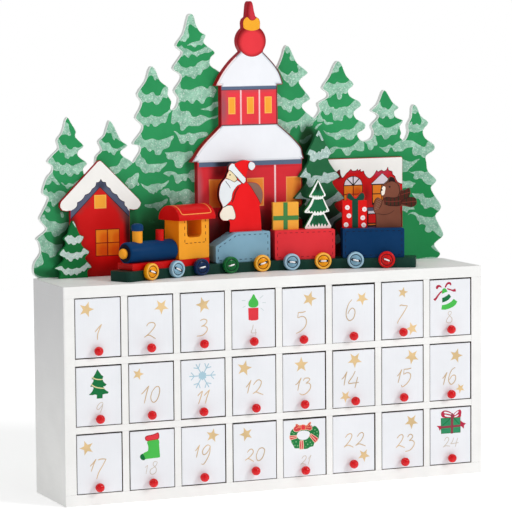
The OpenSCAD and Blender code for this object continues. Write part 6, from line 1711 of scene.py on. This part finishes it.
# The floor glows, brighter away from the cabinet, which lifts the cabinet's shadow on it: painted light.
t.bsdf.inputs["Emission Color"].default_value = (1, 1, 1, 1)
r = t.add("ShaderNodeVectorMath", operation="LENGTH")
t.link(t.coord, r.inputs[0])
t.link(t.span(r.outputs["Value"], 0.24, 0.95, 0.37, 0.56, True), t.bsdf.inputs["Emission Strength"])
fm = finish_tree(t, t.mix(t.span(g, 0.3, 0.7, 0, 1), srgb("#fafafa"), srgb("#fdfdfd")), t.span(g, 0.3, 0.7, 0.75, 0.85),
                 t.bump(t.noise(900, 2, 0.5), 0.05, 0.00005))
me.materials.append(fm)
bpy.context.scene.collection.objects.link(floor)

scene = bpy.context.scene
world = bpy.data.worlds.new("studio")
scene.world = world
world.use_nodes = True
wt = world.node_tree
bg = wt.nodes["Background"]
bg.inputs["Color"].default_value = (1, 1, 1, 1)
bg.inputs["Strength"].default_value = 0.34
white = wt.nodes.new("ShaderNodeBackground")
white.inputs["Color"].default_value = (1, 1, 1, 1)
white.inputs["Strength"].default_value = 1.0
ray = wt.nodes.new("ShaderNodeLightPath")
pick = wt.nodes.new("ShaderNodeMixShader")
wt.links.new(ray.outputs["Is Camera Ray"], pick.inputs[0])
wt.links.new(bg.outputs[0], pick.inputs[1])
wt.links.new(white.outputs[0], pick.inputs[2])
wt.links.new(pick.outputs[0], wt.nodes["World Output"].inputs["Surface"])


def area_light(name, place, aim, size, power, colour=(1, 1, 1)):
    d = bpy.data.lights.new(name, "AREA")
    d.shape = "RECTANGLE"
    d.size, d.size_y = size
    d.energy = power
    d.color = colour
    o = bpy.data.objects.new(name, d)
    o.location = place
    o.rotation_euler = (Vector(aim) - Vector(place)).to_track_quat("-Z", "Y").to_euler()
    scene.collection.objects.link(o)
    return o


area_light("key", (1.9, -2.36, 1.95), (0, 0, 0.2), (0.76, 0.76), 43)
area_light("fill", (-1.9, -1.5, 0.9), (0, 0, 0.2), (1.4, 1.4), 4.9)
area_light("top", (0.1, -0.1, 2.2), (0, 0, 0), (1.5, 1.5), 12)

az, el, roll = math.radians(-22.83), math.radians(5.62), math.radians(-0.46)
back = Vector((math.sin(az) * math.cos(el), -math.cos(az) * math.cos(el), math.sin(el)))
fwd = -back
right = fwd.cross(Vector((0, 0, 1))).normalized()
up = right.cross(fwd)
r2 = right * math.cos(roll) + up * math.sin(roll)
u2 = -right * math.sin(roll) + up * math.cos(roll)
cam = bpy.data.objects.new("camera", bpy.data.cameras.new("camera"))
cam.data.sensor_width = 36
cam.data.lens = 193.3
cam.matrix_world = Matrix(((r2.x, u2.x, back.x, -0.95044), (r2.y, u2.y, back.y, -2.24673),
                           (r2.z, u2.z, back.z, 0.44439), (0, 0, 0, 1)))
scene.collection.objects.link(cam)
scene.camera = cam
scene.view_settings.view_transform = "Standard"
